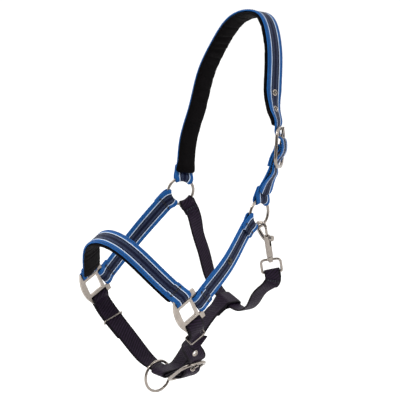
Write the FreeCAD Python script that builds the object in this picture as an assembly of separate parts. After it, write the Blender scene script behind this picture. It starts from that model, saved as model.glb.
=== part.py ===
import FreeCAD, Part
import math
import os

V = FreeCAD.Vector

# Head halter for a horse, in millimetres. +Z is up, the nose points along -Y, and the horse's left,
# the near side, is +X. The origin is on the padded underside of the crown, where it rests on the poll.

# Webbing and padding
WEBBING_WIDTH = 25.0
WEBBING_THICKNESS = 2.4
THROAT_WIDTH = 20.0           # the throat strap's webbing is narrower
PADDING_WIDTH = 29.0
PADDING_THICKNESS = 6.0
FOLD_LENGTH = 15.0            # sewn-back tail on each folded end
LAYER_GAP = 0.25              # between two layers of one strap, where the thread pulls them together
CLEARANCE = 0.35              # between hardware and the webbing round it

# Head sizes
RING_HALF_SPREAD = 80.0       # middle of the head to each upper ring
RING_DROP = 241.0
RING_FORWARD = 62.0
SQUARE_HALF_SPREAD = 98.0
SQUARE_DROP = 347.0
SQUARE_FORWARD = 199.0
SQUARE_LIFT = 4.0             # the near square hangs this much higher and the off square lower
NOSE_ARCH_RISE = 80.0         # bridge of the noseband above the squares
CHIN_DROP = 456.0
CHIN_FORWARD = 154.0
THROAT_DROP = 380.0
THROAT_FORWARD = 46.0

# Rings
RING_WIRE = 3.8
UPPER_RING_INSIDE = 32.2
LEAD_RING_INSIDE = 37.7
NEAR_RING_TURN = -8.0         # degrees about the vertical that each upper ring is turned
OFF_RING_TURN = 20.0
CHEEK_LEAVE_ANGLE = 207.0     # where the cheek straps leave the rings, from +Y towards +Z
THROAT_LEAVE_ANGLE = 300.0    # where the throat strap leaves the off ring
HANG_ANGLE = -75.0            # where the snap hangs on the near ring

# Halter squares
SQUARE_TILT = 26.0            # degrees that the side facing the noseband leans forward
SQUARE_WINDOW = 21.0
SQUARE_INNER_BAR = 4.0
SQUARE_OUTER_BAR = 4.0
SQUARE_THICKNESS = 4.0
CRESCENT_DEPTH = 7.5
HORN = 3.0

# Buckles
BUCKLE_LENGTH = 54.0
BUCKLE_BAR = 4.4
BUCKLE_CORNER = 14.0
CENTRE_BAR = 3.6
TONGUE_DIAMETER = 2.6
EYELET_BORE = 5.6
EYELET_RIM = 1.5
EYELET_PITCH = 22.0
HOLE_FROM_BAR = 12.6          # eyelet in use, measured along the buckle from the centre bar

# Keepers
KEEPER_WIRE = 2.0
OFF_KEEPER_AT = 34.0          # along the strap from the off square
OFF_TAIL = 62.0               # loose tail of the off chin strap, held by its keeper
NEAR_KEEPER_AT = 16.0         # along the strap from the near square

# Snap
SNAP_BARREL = 8.6
SNAP_BORE = 5.4
BOLT_DIAMETER = 3.4
BOLT_TRAVEL = 8.0
HOOK_WIRE = 4.0
HOOK_REACH = 15.6             # from the bolt's axis to the middle of the hook's back
EYE_WIRE = 3.4
SNAP_AXIS_SHIFT = 8.5         # the bolt's axis beside the ring's wire
EYE_DEPTH = 64.0              # the strap's bar of the eye below the ring's wire

# Chin and throat
LEAD_RING_X = -17.0
JOWL_LOOP_X = 1.5
LOOP_SLOPE = 18.0             # degrees that the throat strap falls to the near side inside the jowl loop

# Worked out from the sizes above
RING_RADIUS = (UPPER_RING_INSIDE + RING_WIRE) / 2
LEAD_RADIUS = (LEAD_RING_INSIDE + RING_WIRE) / 2
SLOT = WEBBING_THICKNESS + 3 * CLEARANCE
BAR_OFFSET = SQUARE_WINDOW / 2 + SQUARE_INNER_BAR + SLOT + SQUARE_OUTER_BAR / 2
SLOT_LENGTH = WEBBING_WIDTH + 1.0
LAYER_STEP = WEBBING_THICKNESS + LAYER_GAP
PADDING_OFFSET = -(WEBBING_THICKNESS / 2 + LAYER_GAP + PADDING_THICKNESS / 2)
BUCKLE_INSIDE_WIDTH = WEBBING_WIDTH + 8.0
BUCKLE_WIDTH = BUCKLE_INSIDE_WIDTH + 2 * BUCKLE_BAR
BUCKLE_REACH = (BUCKLE_LENGTH - BUCKLE_BAR) / 2
CROWN_TILT = V(0, RING_FORWARD, RING_DROP).normalize()
CROWN_LENGTH = math.hypot(RING_FORWARD, RING_DROP)
X_AXIS = V(1, 0, 0)
Y_AXIS = V(0, 1, 0)
Z_AXIS = V(0, 0, 1)


def save(name, shape):
    """Write one node."""
    os.makedirs("parts", exist_ok=True)
    if shape.isNull() or not shape.isValid():
        raise RuntimeError(name + " is not a valid solid")
    shape.exportStep("parts/" + name + ".step")
    print(name, len(shape.Solids), "solid", round(shape.Volume), "mm3")


def turned(vector, axis, degrees):
    """A vector turned about an axis through the origin."""
    return FreeCAD.Rotation(axis, degrees).multVec(vector)


def unit(vector):
    return V(vector).normalize()


def square_to(vector, direction):
    """The part of a vector that is square to a direction, at length one."""
    return unit(vector - direction * vector.dot(direction))


class Route:
    """A strap's middle line with the direction of its width along it."""

    def __init__(self, stations):
        self.curve = Part.BSplineCurve()
        self.curve.interpolate([point for point, width in stations])
        self.length = self.curve.length()
        self.marks = [self.distance_to(point) for point, width in stations]
        self.widths = [unit(width) for point, width in stations]

    def distance_to(self, point):
        parameter = self.curve.parameter(point)
        if parameter <= self.curve.FirstParameter:
            return 0.0
        return self.curve.length(self.curve.FirstParameter, parameter)

    def frame(self, distance):
        """Point, tangent, width direction and outward normal at a distance from the start."""
        parameter = self.curve.parameterAtDistance(distance, self.curve.FirstParameter)
        tangent = unit(self.curve.tangent(parameter)[0])
        width = self.widths[-1]
        for low, high, a, b in zip(self.marks, self.marks[1:], self.widths, self.widths[1:]):
            if low <= distance <= high:
                share = (distance - low) / (high - low)
                width = a * (1 - share) + b * share
                break
        width = square_to(width, tangent)
        return self.curve.value(parameter), tangent, width, tangent.cross(width)

    def strap(self, start=0.0, end=None, width=WEBBING_WIDTH, thickness=WEBBING_THICKNESS,
              offset=0.0, step=7.0):
        """A flat strap along the route, with its middle moved outward by offset."""
        end = self.length if end is None else end
        count = max(3, math.ceil((end - start) / step) + 1)
        sections = []
        for index in range(count):
            point, tangent, across, out = self.frame(start + (end - start) * index / (count - 1))
            corners = []
            for w, n in ((-1, -1), (1, -1), (1, 1), (-1, 1)):
                corners.append(point + across * (w * width / 2) + out * (offset + n * thickness / 2))
            sections.append(Part.makePolygon(corners + corners[:1]))
        solid = Part.makeLoft(sections, True, True)
        if solid.Volume < 0:
            solid.reverse()
        return solid


def pipe(points, radius, closed_radius=None):
    """A round bar through a smooth run of points; it may taper to closed_radius."""
    curve = Part.BSplineCurve()
    curve.interpolate(points)
    length = curve.length()
    count = max(5, math.ceil(length / 4.0))
    sections = []
    for index in range(count + 1):
        share = index / count
        parameter = curve.parameterAtDistance(length * share, curve.FirstParameter)
        size = radius + ((closed_radius or radius) - radius) * share
        circle = Part.makeCircle(size, curve.value(parameter), curve.tangent(parameter)[0])
        sections.append(Part.Wire(circle))
    return Part.makeLoft(sections, True, False)


def rod(start, end, radius):
    """A straight round bar between two points."""
    return Part.makeCylinder(radius, (end - start).Length, start, end - start)


def placed_box(centre, along_a, along_b, along_c, size):
    """A box of size (a, b, c) centred on a point, with its sides along three square directions."""
    a, b, c = size
    corner = centre - along_a * (a / 2) - along_b * (b / 2)
    loop = [corner, corner + along_a * a, corner + along_a * a + along_b * b, corner + along_b * b, corner]
    face = Part.Face(Part.makePolygon(loop))
    face.translate(along_c * (-c / 2))
    return face.extrude(along_c * c)


def rounded_plate(centre, along_a, along_b, length, width, corner, thickness):
    """A flat plate with round corners, centred on a point."""
    out = along_a.cross(along_b)
    a, b = length / 2 - corner, width / 2 - corner
    body = placed_box(centre, along_a, along_b, out, (length, 2 * b, thickness))
    body = body.fuse(placed_box(centre, along_a, along_b, out, (2 * a, width, thickness)))
    for sa in (-1, 1):
        for sb in (-1, 1):
            middle = centre + along_a * (sa * a) + along_b * (sb * b) - out * (thickness / 2)
            body = body.fuse(Part.makeCylinder(corner, thickness, middle, out))
    return body.removeSplitter()


def ring(centre, axis, radius):
    return Part.makeTorus(radius, RING_WIRE / 2, centre, axis)


def ring_sleeve(centre, axis, toward, radius, width=WEBBING_WIDTH):
    """Webbing turned round a ring's wire, over an arc as long as the webbing is wide."""
    toward = square_to(toward, axis)
    sweep = math.degrees(width / radius)
    start = turned(toward, axis, -sweep / 2)
    hub = centre + start * radius
    shells = []
    for size in (RING_WIRE / 2 + CLEARANCE + WEBBING_THICKNESS, RING_WIRE / 2 + CLEARANCE):
        disc = Part.Face(Part.Wire(Part.makeCircle(size, hub, axis.cross(start))))
        shells.append(disc.revolve(centre, axis, sweep))
    return shells[0].cut(shells[1])


def bent_loop(corners, bends, radius):
    """A closed loop of round wire through four square corners, bent round each at its own radius."""
    pieces = []
    leaves = []
    arrives = []
    for index, corner in enumerate(corners):
        before = unit(corners[index - 1] - corner)
        after = unit(corners[(index + 1) % 4] - corner)
        start = corner + before * bends[index]
        disc = Part.Face(Part.Wire(Part.makeCircle(radius, start, before)))
        pieces.append(disc.revolve(start + after * bends[index], after.cross(before), 90))
        arrives.append(start)
        leaves.append(corner + after * bends[index])
    for index in range(4):
        pieces.append(rod(leaves[index], arrives[(index + 1) % 4], radius))
    return pieces[0].fuse(pieces[1:]).removeSplitter()


def ring_room(centre, axis, radius):
    """The space that a strap leaves clear round a ring's wire."""
    return Part.makeTorus(radius, RING_WIRE / 2 + CLEARANCE, centre, axis)


def bar_sleeve(centre, along, bar_radius, width=WEBBING_WIDTH):
    """Webbing turned round a straight bar."""
    start = centre - along * (width / 2)
    outer = Part.makeCylinder(bar_radius + CLEARANCE + WEBBING_THICKNESS, width, start, along)
    return outer.cut(Part.makeCylinder(bar_radius + CLEARANCE, width, start, along))


def eyelet_room(point, out, thickness=WEBBING_THICKNESS):
    """The hole that an eyelet's barrel fills, and the webbing that its rims press flat."""
    half = thickness / 2 + 0.02
    rim = EYELET_BORE / 2 + EYELET_RIM + 0.1
    room = rod(point - out * 5, point + out * 5, EYELET_BORE / 2 + 0.5)
    for side in (-1, 1):
        room = room.fuse(rod(point + out * (side * half), point + out * (side * 5), rim))
    return room


def eyelet(point, out, thickness=WEBBING_THICKNESS):
    """A metal eyelet: a barrel with a rim on both faces of the webbing."""
    half = thickness / 2 + 0.05
    barrel = rod(point - out * half, point + out * half, EYELET_BORE / 2 + 0.45)
    for side in (-1, 1):
        rim = rod(point + out * (side * half), point + out * (side * (half + 0.7)), EYELET_BORE / 2 + EYELET_RIM)
        barrel = barrel.fuse(rim)
    return barrel.cut(rod(point - out * 8, point + out * 8, EYELET_BORE / 2)).removeSplitter()


# Places on the head

def side_point(side, spread, forward, drop):
    return V(side * spread, -forward, -drop)


RING_CENTRE = {side: side_point(side, RING_HALF_SPREAD, RING_FORWARD, RING_DROP) for side in (-1, 1)}
RING_AXIS = {1: turned(X_AXIS, Z_AXIS, -NEAR_RING_TURN), -1: turned(X_AXIS, Z_AXIS, -OFF_RING_TURN)}
SQUARE_CENTRE = {side: side_point(side, SQUARE_HALF_SPREAD, SQUARE_FORWARD, SQUARE_DROP - side * SQUARE_LIFT)
                 for side in (-1, 1)}
TO_NOSE = turned(Z_AXIS, X_AXIS, SQUARE_TILT)      # from a square towards the noseband
TO_CHEEK = turned(Y_AXIS, X_AXIS, SQUARE_TILT)     # from a square towards the cheek strap
CROWN_ACROSS = V(0, RING_DROP, -RING_FORWARD).normalize()


# Crown: strap, padding, eyelets, buckle and buckle strap

def crown_point(x_share, rise_share):
    """A point of the crown's plane, as shares of the half spread and of the length to the rings."""
    return V(x_share * RING_HALF_SPREAD, 0, 0) + CROWN_TILT * (rise_share * CROWN_LENGTH)


CROWN_LIFT = PADDING_THICKNESS + WEBBING_THICKNESS / 2 + LAYER_GAP
BUCKLE_TURN = 34.0            # degrees about the vertical that the crown buckle faces forward
BUCKLE_OUT = turned(X_AXIS, Z_AXIS, BUCKLE_TURN)
BUCKLE_UP = square_to(CROWN_TILT, BUCKLE_OUT)
BUCKLE_ACROSS = BUCKLE_UP.cross(BUCKLE_OUT)
BUCKLE_CENTRE = crown_point(1.17, -0.64)


def buckle_point(centre, up, out, along, away):
    return centre + up * along + out * away


# A strap woven through a buckle, as (along, away) from the centre bar: behind the far end bar, up through
# the window, over the centre bar and behind the near end bar.
BEHIND_BAR = -(BUCKLE_BAR / 2 + WEBBING_THICKNESS / 2 + 2 * CLEARANCE)
OVER_CENTRE = CENTRE_BAR / 2 + CLEARANCE + WEBBING_THICKNESS + CLEARANCE + WEBBING_THICKNESS / 2
TONGUE_LIFT = BUCKLE_BAR / 2 + TONGUE_DIAMETER / 2 + 0.2
TONGUE_AT_HOLE = TONGUE_LIFT * HOLE_FROM_BAR / BUCKLE_REACH
WEAVE = [
    (BUCKLE_REACH + 4, BEHIND_BAR),
    (BUCKLE_REACH - 5, BEHIND_BAR + 0.1),
    (HOLE_FROM_BAR + 1.6, TONGUE_AT_HOLE - 3.0),
    (HOLE_FROM_BAR - 1.6, TONGUE_AT_HOLE + 2.2),
    (5.5, OVER_CENTRE - 0.1),
    (-1.0, OVER_CENTRE + 0.3),
    (-9.0, OVER_CENTRE - 2.0),
    (-16.5, BEHIND_BAR + 3.0),
    (-BUCKLE_REACH + 1, BEHIND_BAR),
    (-BUCKLE_REACH - 6, BEHIND_BAR),
]


TIP_FROM_RING = (27.0, 16.0, 5.0)      # where the crown's free tip lies on the billet, from the near ring


def crown_route():
    """From the off ring over the poll, down to the buckle and on to the free tip."""
    off = RING_CENTRE[-1] + CROWN_TILT * (RING_RADIUS + RING_WIRE / 2 + 1.0)
    stations = [(off, turned(Y_AXIS, Z_AXIS, -OFF_RING_TURN))]
    for x, rise in ((-1.05, -0.84), (-1.10, -0.71), (-1.03, -0.54), (-0.98, -0.345), (-0.77, -0.165), (-0.50, -0.034)):
        stations.append((crown_point(x, rise), CROWN_ACROSS))
    stations.append((CROWN_TILT * CROWN_LIFT, CROWN_ACROSS))
    for x, rise in ((0.24, 0.018), (0.49, -0.065), (0.67, -0.20), (0.79, -0.36)):
        stations.append((crown_point(x, rise), CROWN_ACROSS))
    stations.append((crown_point(0.90, -0.455), turned(CROWN_ACROSS, Z_AXIS, BUCKLE_TURN * 0.6)))
    for along, away in WEAVE:
        stations.append((buckle_point(BUCKLE_CENTRE, BUCKLE_UP, BUCKLE_OUT, along, away), BUCKLE_ACROSS))
    billet = buckle_strap_route()
    for from_ring in TIP_FROM_RING:
        point, tangent, across, out = billet.frame(billet.length - from_ring)
        stations.append((point + out * (LAYER_STEP + 0.6), across))
    return Route(stations)


def buckle_strap_route():
    """The billet: from the centre bar of the crown buckle down to the near ring."""
    top = buckle_point(BUCKLE_CENTRE, BUCKLE_UP, BUCKLE_OUT, -4.0, -0.8)
    low = buckle_point(BUCKLE_CENTRE, BUCKLE_UP, BUCKLE_OUT, -BUCKLE_REACH, BEHIND_BAR - LAYER_STEP - CLEARANCE - 1.3)
    mid = buckle_point(BUCKLE_CENTRE, BUCKLE_UP, BUCKLE_OUT, -12.0, -5.2)
    ring_top = RING_CENTRE[1] + CROWN_TILT * (RING_RADIUS + RING_WIRE / 2 + 1.0)
    ring_across = turned(Y_AXIS, Z_AXIS, -NEAR_RING_TURN)
    above = ring_top + CROWN_TILT * 14 + X_AXIS * 1.0
    return Route([(top, BUCKLE_ACROSS), (mid, BUCKLE_ACROSS), (low, BUCKLE_ACROSS),
                  ((low + above) / 2 + X_AXIS * 1.0, (BUCKLE_ACROSS + ring_across) / 2),
                  (above, ring_across), (ring_top, ring_across)])


def buckle_frame(centre, up, out):
    across = out.cross(up)
    frame = rounded_plate(centre, up, across, BUCKLE_LENGTH, BUCKLE_WIDTH, BUCKLE_CORNER, BUCKLE_BAR * 0.9)
    window = rounded_plate(centre, up, across, BUCKLE_LENGTH - 2 * BUCKLE_BAR, BUCKLE_INSIDE_WIDTH,
                           BUCKLE_CORNER - BUCKLE_BAR, BUCKLE_BAR * 2)
    frame = frame.cut(window).removeSplitter()
    frame = frame.makeFillet(BUCKLE_BAR * 0.3, frame.Edges)
    reach = BUCKLE_INSIDE_WIDTH / 2 + BUCKLE_BAR * 0.4
    return frame.fuse(rod(centre - across * reach, centre + across * reach, CENTRE_BAR / 2))


def buckle_tongue(centre, up, out):
    """A tongue curled round the centre bar, with its tip resting on the end bar."""
    across = out.cross(up)
    half = TONGUE_DIAMETER * 0.75
    eye = rod(centre - across * half, centre + across * half, CENTRE_BAR / 2 + 1.5)
    tip = buckle_point(centre, up, out, BUCKLE_REACH + BUCKLE_BAR * 0.25, TONGUE_LIFT)
    heel = buckle_point(centre, up, out, CENTRE_BAR / 2 + 0.3, 0.3)
    prong = rod(heel, tip, TONGUE_DIAMETER / 2).fuse(Part.makeSphere(TONGUE_DIAMETER / 2, tip))
    return eye.fuse(prong).cut(rod(centre - across * 9, centre + across * 9, CENTRE_BAR / 2 + 0.08))


def tongue_slot(centre, up, out):
    """The slot in a folded strap that lets the tongue out."""
    across = out.cross(up)
    middle = centre + up * 4.0
    return placed_box(middle, up, across, out, (18.0, TONGUE_DIAMETER * 1.5 + 1.6, 16.0))


CROWN = crown_route()
CROWN_USED_HOLE = CROWN.distance_to(buckle_point(BUCKLE_CENTRE, BUCKLE_UP, BUCKLE_OUT,
                                                 HOLE_FROM_BAR, TONGUE_AT_HOLE - 0.4))
CROWN_HOLES = [CROWN_USED_HOLE - 3 * EYELET_PITCH, CROWN_USED_HOLE - 2 * EYELET_PITCH, CROWN_USED_HOLE]


def with_fold(route, strap, at_start, side=-1, width=WEBBING_WIDTH):
    """A strap with the sewn-back tail of a folded end, on its inner (-1) or outer (1) face."""
    low, high = (0.0, FOLD_LENGTH) if at_start else (route.length - FOLD_LENGTH, route.length)
    tail = route.strap(low, high, width, offset=side * LAYER_STEP, step=5.0)
    thread = route.strap(low + 2.0, high - 2.0, width - 6, 1.2, side * LAYER_STEP / 2, step=5.0)
    return strap.fuse([tail, thread])


def make_crown():
    strap = CROWN.strap(step=6.0)
    strap = with_fold(CROWN, strap, True, 1)
    for distance in CROWN_HOLES:
        point, tangent, across, out = CROWN.frame(distance)
        strap = strap.cut(eyelet_room(point, out))
    sleeve = ring_sleeve(RING_CENTRE[-1], RING_AXIS[-1], CROWN_TILT, RING_RADIUS)
    strap = strap.fuse(sleeve).cut(ring_room(RING_CENTRE[-1], RING_AXIS[-1], RING_RADIUS))
    save("crown_strap", strap)
    rings = []
    for distance in CROWN_HOLES:
        point, tangent, across, out = CROWN.frame(distance)
        rings.append(eyelet(point, out))
    save("crown_eyelets", Part.makeCompound(rings))
    end = CROWN_USED_HOLE - 17.0
    padding = CROWN.strap(4.5, end, PADDING_WIDTH, PADDING_THICKNESS, PADDING_OFFSET, step=8.0)
    for distance in CROWN_HOLES[:2]:
        point, tangent, across, out = CROWN.frame(distance)
        padding = padding.cut(rod(point - out * 15.0, point, EYELET_BORE / 2 + EYELET_RIM + 0.3))
    save("crown_padding", padding)


def make_crown_buckle():
    save("crown_buckle_frame", buckle_frame(BUCKLE_CENTRE, BUCKLE_UP, BUCKLE_OUT))
    save("crown_buckle_tongue", buckle_tongue(BUCKLE_CENTRE, BUCKLE_UP, BUCKLE_OUT))
    route = buckle_strap_route()
    strap = route.strap(step=5.0)
    strap = with_fold(route, strap, False)
    strap = strap.fuse(bar_sleeve(BUCKLE_CENTRE, BUCKLE_ACROSS, CENTRE_BAR / 2))
    strap = strap.fuse(ring_sleeve(RING_CENTRE[1], RING_AXIS[1], CROWN_TILT, RING_RADIUS))
    strap = strap.cut(rod(BUCKLE_CENTRE - BUCKLE_ACROSS * 30, BUCKLE_CENTRE + BUCKLE_ACROSS * 30,
                          CENTRE_BAR / 2 + CLEARANCE))
    strap = strap.cut(tongue_slot(BUCKLE_CENTRE, BUCKLE_UP, BUCKLE_OUT))
    strap = strap.cut(ring_room(RING_CENTRE[1], RING_AXIS[1], RING_RADIUS))
    save("crown_buckle_strap", strap)


# Upper rings

def make_upper_rings():
    save("off_upper_ring", ring(RING_CENTRE[-1], RING_AXIS[-1], RING_RADIUS))
    save("near_upper_ring", ring(RING_CENTRE[1], RING_AXIS[1], RING_RADIUS))


# Halter squares and the straps between them and the rings

def square_point(side, cheek, nose, out=0.0):
    return SQUARE_CENTRE[side] + TO_CHEEK * cheek + TO_NOSE * nose + X_AXIS * (side * out)


def halter_square(side):
    """A cast square: a window, a slot on three sides for the straps, and a crescent on the fourth."""
    edge = BAR_OFFSET + SQUARE_OUTER_BAR / 2
    front = SLOT_LENGTH - (SQUARE_WINDOW / 2 + SQUARE_INNER_BAR)
    half = SQUARE_THICKNESS / 2

    def at(cheek, nose):
        return square_point(side, cheek, nose) - X_AXIS * half

    crescent = Part.Arc(at(-front, -edge - HORN), at(-front - CRESCENT_DEPTH, 0), at(-front, edge + HORN)).toShape()
    corners = [at(-front, edge + HORN), at(-front, edge), at(edge, edge), at(edge, -edge),
               at(-front, -edge), at(-front, -edge - HORN)]
    outline = Part.Wire([crescent] + Part.makePolygon(corners).Edges)
    plate = Part.Face(outline).extrude(X_AXIS * SQUARE_THICKNESS)
    window = rounded_plate(SQUARE_CENTRE[side], TO_CHEEK, TO_NOSE, SQUARE_WINDOW, SQUARE_WINDOW, 2.0, SQUARE_THICKNESS * 3)
    plate = plate.cut(window)
    slot_middle = BAR_OFFSET - SQUARE_OUTER_BAR / 2 - SLOT / 2
    for nose in (-1, 1):
        middle = square_point(side, BAR_SLIDE, nose * slot_middle)
        plate = plate.cut(placed_box(middle, TO_CHEEK, TO_NOSE, X_AXIS, (SLOT_LENGTH, SLOT, SQUARE_THICKNESS * 3)))
    middle = square_point(side, slot_middle, 0)
    plate = plate.cut(placed_box(middle, TO_CHEEK, TO_NOSE, X_AXIS, (SLOT, SLOT_LENGTH, SQUARE_THICKNESS * 3)))
    return plate


TO_NOSE_PLANE = turned(Z_AXIS, X_AXIS, SQUARE_TILT + 3.0)
NOSE_ACROSS = turned(Y_AXIS, X_AXIS, SQUARE_TILT + 3.0)
BAR_SLIDE = (SQUARE_WINDOW / 2 + SQUARE_INNER_BAR) - SLOT_LENGTH / 2     # middle of the nose and chin bars

# The noseband as (share of the half spread, share of the rise), from the off square to the near square
NOSE_SHAPE = [(-0.97, 0.035), (-0.89, 0.15), (-0.79, 0.335), (-0.685, 0.53), (-0.55, 0.73), (-0.31, 0.93), (0.0, 1.0),
              (0.26, 0.90), (0.45, 0.715), (0.60, 0.51), (0.735, 0.32), (0.88, 0.14), (0.97, 0.035)]


def nose_route():
    base = (SQUARE_CENTRE[1] + SQUARE_CENTRE[-1]) / 2 + TO_NOSE * BAR_OFFSET + NOSE_ACROSS * BAR_SLIDE
    stations = []
    for share, rise in NOSE_SHAPE:
        point = base + V(share * SQUARE_HALF_SPREAD, 0, share * SQUARE_LIFT) + TO_NOSE_PLANE * (rise * NOSE_ARCH_RISE)
        stations.append((point, NOSE_ACROSS))
    return Route(stations)


def square_bar_sleeve(side, which):
    if which == "cheek":
        return bar_sleeve(square_point(side, BAR_OFFSET, 0), TO_NOSE, SLEEVE_BAR)
    sign = 1 if which == "nose" else -1
    return bar_sleeve(square_point(side, BAR_SLIDE, sign * BAR_OFFSET), TO_CHEEK, SLEEVE_BAR)


SLEEVE_BAR = SQUARE_OUTER_BAR / 2 + 0.25


def round_outer_bars(side, plate):
    """Rounds the three outer bars, where the webbing turns round them."""
    places = [(square_point(side, BAR_SLIDE, BAR_OFFSET), TO_CHEEK),
              (square_point(side, BAR_SLIDE, -BAR_OFFSET), TO_CHEEK),
              (square_point(side, BAR_OFFSET, 0), TO_NOSE)]
    for middle, along in places:
        out = along.cross(X_AXIS)
        block = placed_box(middle, along, out, X_AXIS, (SLOT_LENGTH, SQUARE_OUTER_BAR + 0.02, SQUARE_THICKNESS + 0.02))
        core = rod(middle - along * (SLOT_LENGTH / 2), middle + along * (SLOT_LENGTH / 2), SQUARE_OUTER_BAR / 2)
        plate = plate.cut(block.cut(core))
    return plate


def make_squares():
    for side, name in ((-1, "off_square"), (1, "near_square")):
        save(name, round_outer_bars(side, halter_square(side)))


def make_noseband():
    route = nose_route()
    strap = route.strap(step=7.0)
    strap = with_fold(route, strap, True, 1)
    strap = with_fold(route, strap, False, 1)
    for side in (-1, 1):
        strap = strap.fuse(square_bar_sleeve(side, "nose"))
        middle = square_point(side, 0, BAR_OFFSET)
        strap = strap.cut(rod(middle - TO_CHEEK * 30, middle + TO_CHEEK * 30, SLEEVE_BAR + CLEARANCE))
    save("noseband_strap", strap)
    padding = route.strap(4.0, route.length - 4.0, PADDING_WIDTH, PADDING_THICKNESS, PADDING_OFFSET, step=7.0)
    save("noseband_padding", padding)


def outward_of(route, distance, direction):
    """Which face of a route looks along a direction: 1 or -1."""
    return 1 if route.frame(distance)[3].dot(direction) > 0 else -1


def ring_direction(side, angle):
    """A direction in a ring's plane, from +Y towards +Z."""
    radians = math.radians(angle)
    return square_to(V(0, math.cos(radians), math.sin(radians)), RING_AXIS[side])


def cheek_route(side):
    bar = square_point(side, BAR_OFFSET, 0)
    start = bar + TO_CHEEK * (SLEEVE_BAR + CLEARANCE + 1.0)
    leave = ring_direction(side, CHEEK_LEAVE_ANGLE)
    to_ring = leave * -1
    end = RING_CENTRE[side] + leave * (RING_RADIUS + RING_WIRE / 2 + 1.0)
    run = end - start
    bow = X_AXIS * (side * 5.0)
    ring_across = square_to(RING_AXIS[side], to_ring).cross(to_ring) * -1
    if ring_across.dot(TO_NOSE) < 0:
        ring_across = ring_across * -1
    return Route([(start, TO_NOSE), (start + run * 0.12 + TO_CHEEK * 1.0 + bow * 0.25, TO_NOSE),
                  (start + run * 0.5 + bow - Z_AXIS * 2.0, (TO_NOSE + ring_across) / 2),
                  (start + run * 0.86 + bow * 0.3, ring_across), (end, ring_across)])


def make_cheek(side, name):
    route = cheek_route(side)
    strap = route.strap(step=7.0)
    fold_side = outward_of(route, 1.0, X_AXIS * side)
    strap = with_fold(route, strap, True, fold_side)
    strap = with_fold(route, strap, False, fold_side)
    strap = strap.fuse(square_bar_sleeve(side, "cheek"))
    middle = square_point(side, BAR_OFFSET, 0)
    strap = strap.cut(rod(middle - TO_NOSE * 30, middle + TO_NOSE * 30, SLEEVE_BAR + CLEARANCE))
    toward = ring_direction(side, CHEEK_LEAVE_ANGLE)
    strap = strap.fuse(ring_sleeve(RING_CENTRE[side], RING_AXIS[side], toward, RING_RADIUS))
    strap = strap.cut(ring_room(RING_CENTRE[side], RING_AXIS[side], RING_RADIUS))
    if side == 1:
        point, tangent, across, out = route.frame(route.length * 0.52)
        out = out if out.x > 0 else out * -1
        half = WEBBING_THICKNESS / 2 + 0.05
        strap = strap.cut([rod(point - out * 5, point + out * 5, 1.6),
                           rod(point + out * (half - 0.03), point + out * 5, 4.5),
                           rod(point - out * (half - 0.03), point - out * (half + 0.9), 3.7)])
        cap = rod(point + out * half, point + out * (half + 0.9), 4.4)
        dome = Part.makeSphere(3.4, point + out * (half - 1.0))
        dome = dome.cut(placed_box(point - out * (4 - half), tangent, across, out, (12, 12, 8)))
        shank = rod(point - out * (half + 0.8), point + out * half, 1.5)
        back = rod(point - out * (half + 0.8), point - out * half, 3.6)
        save("cheek_rivet", cap.fuse([dome, shank, back]))
    save(name, strap)


# Chin: off strap, near strap, buckle, keepers, lead ring

CHIN_UP = unit(V(0.80, -0.02, 0.60))
CHIN_OUT = square_to(V(0.60, 0.0, -0.80), CHIN_UP)
CHIN_BUCKLE = V(46.0, -CHIN_FORWARD - 2.0, -CHIN_DROP + 12.0)
CHIN_ACROSS = CHIN_OUT.cross(CHIN_UP)


def chin_bar(side):
    return square_point(side, BAR_SLIDE, -BAR_OFFSET)


def chin_off_route():
    """From the chin buckle's centre bar, through the lead ring and up to the off square."""
    heel = buckle_point(CHIN_BUCKLE, CHIN_UP, CHIN_OUT, -4.0, -0.8)
    mid = buckle_point(CHIN_BUCKLE, CHIN_UP, CHIN_OUT, -12.0, -5.0)
    low = buckle_point(CHIN_BUCKLE, CHIN_UP, CHIN_OUT, -BUCKLE_REACH, BEHIND_BAR - LAYER_STEP - CLEARANCE)
    bottom = V(LEAD_RING_X, -CHIN_FORWARD, -CHIN_DROP)
    bar = chin_bar(-1)
    start = bar - TO_NOSE * (SLEEVE_BAR + CLEARANCE + 1.0)
    back = Y_AXIS * -1
    keeper_low = bottom + (start - bottom) * 0.40 + V(-7, -3, 0)
    keeper_high = bottom + (start - bottom) * 0.72 + V(-7, -2, 0)
    bar_across = TO_CHEEK * -1
    return Route([(heel, CHIN_ACROSS), (mid, CHIN_ACROSS), (low, CHIN_ACROSS),
                  (V(15.0, -CHIN_FORWARD - 1.2, -CHIN_DROP - 0.3), back),
                  (V(4.0, -CHIN_FORWARD - 0.6, -CHIN_DROP - 0.6), back), (bottom, back),
                  (bottom + V(-12, -1, 2.5), back), (keeper_low, (back + bar_across) / 2), (keeper_high, bar_across),
                  (start - TO_NOSE * 6.0, bar_across), (start, bar_across)])


def chin_near_route():
    """From the near square's chin bar down through the buckle to the free tip."""
    bar = chin_bar(1)
    start = bar - TO_NOSE * (SLEEVE_BAR + CLEARANCE + 1.0)
    stations = [(start, TO_CHEEK), (start - TO_NOSE * 6.0, TO_CHEEK)]
    top = buckle_point(CHIN_BUCKLE, CHIN_UP, CHIN_OUT, BUCKLE_REACH + 8, BEHIND_BAR)
    stations.append((start + (top - start) * 0.36 + V(-5, -5, 0), TO_CHEEK))
    stations.append((start + (top - start) * 0.70 + V(-5, -5, 0), (TO_CHEEK - CHIN_ACROSS) / 2))
    for along, away in WEAVE[:-1]:
        stations.append((buckle_point(CHIN_BUCKLE, CHIN_UP, CHIN_OUT, along, away), CHIN_ACROSS * -1))
    return Route(stations)


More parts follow.
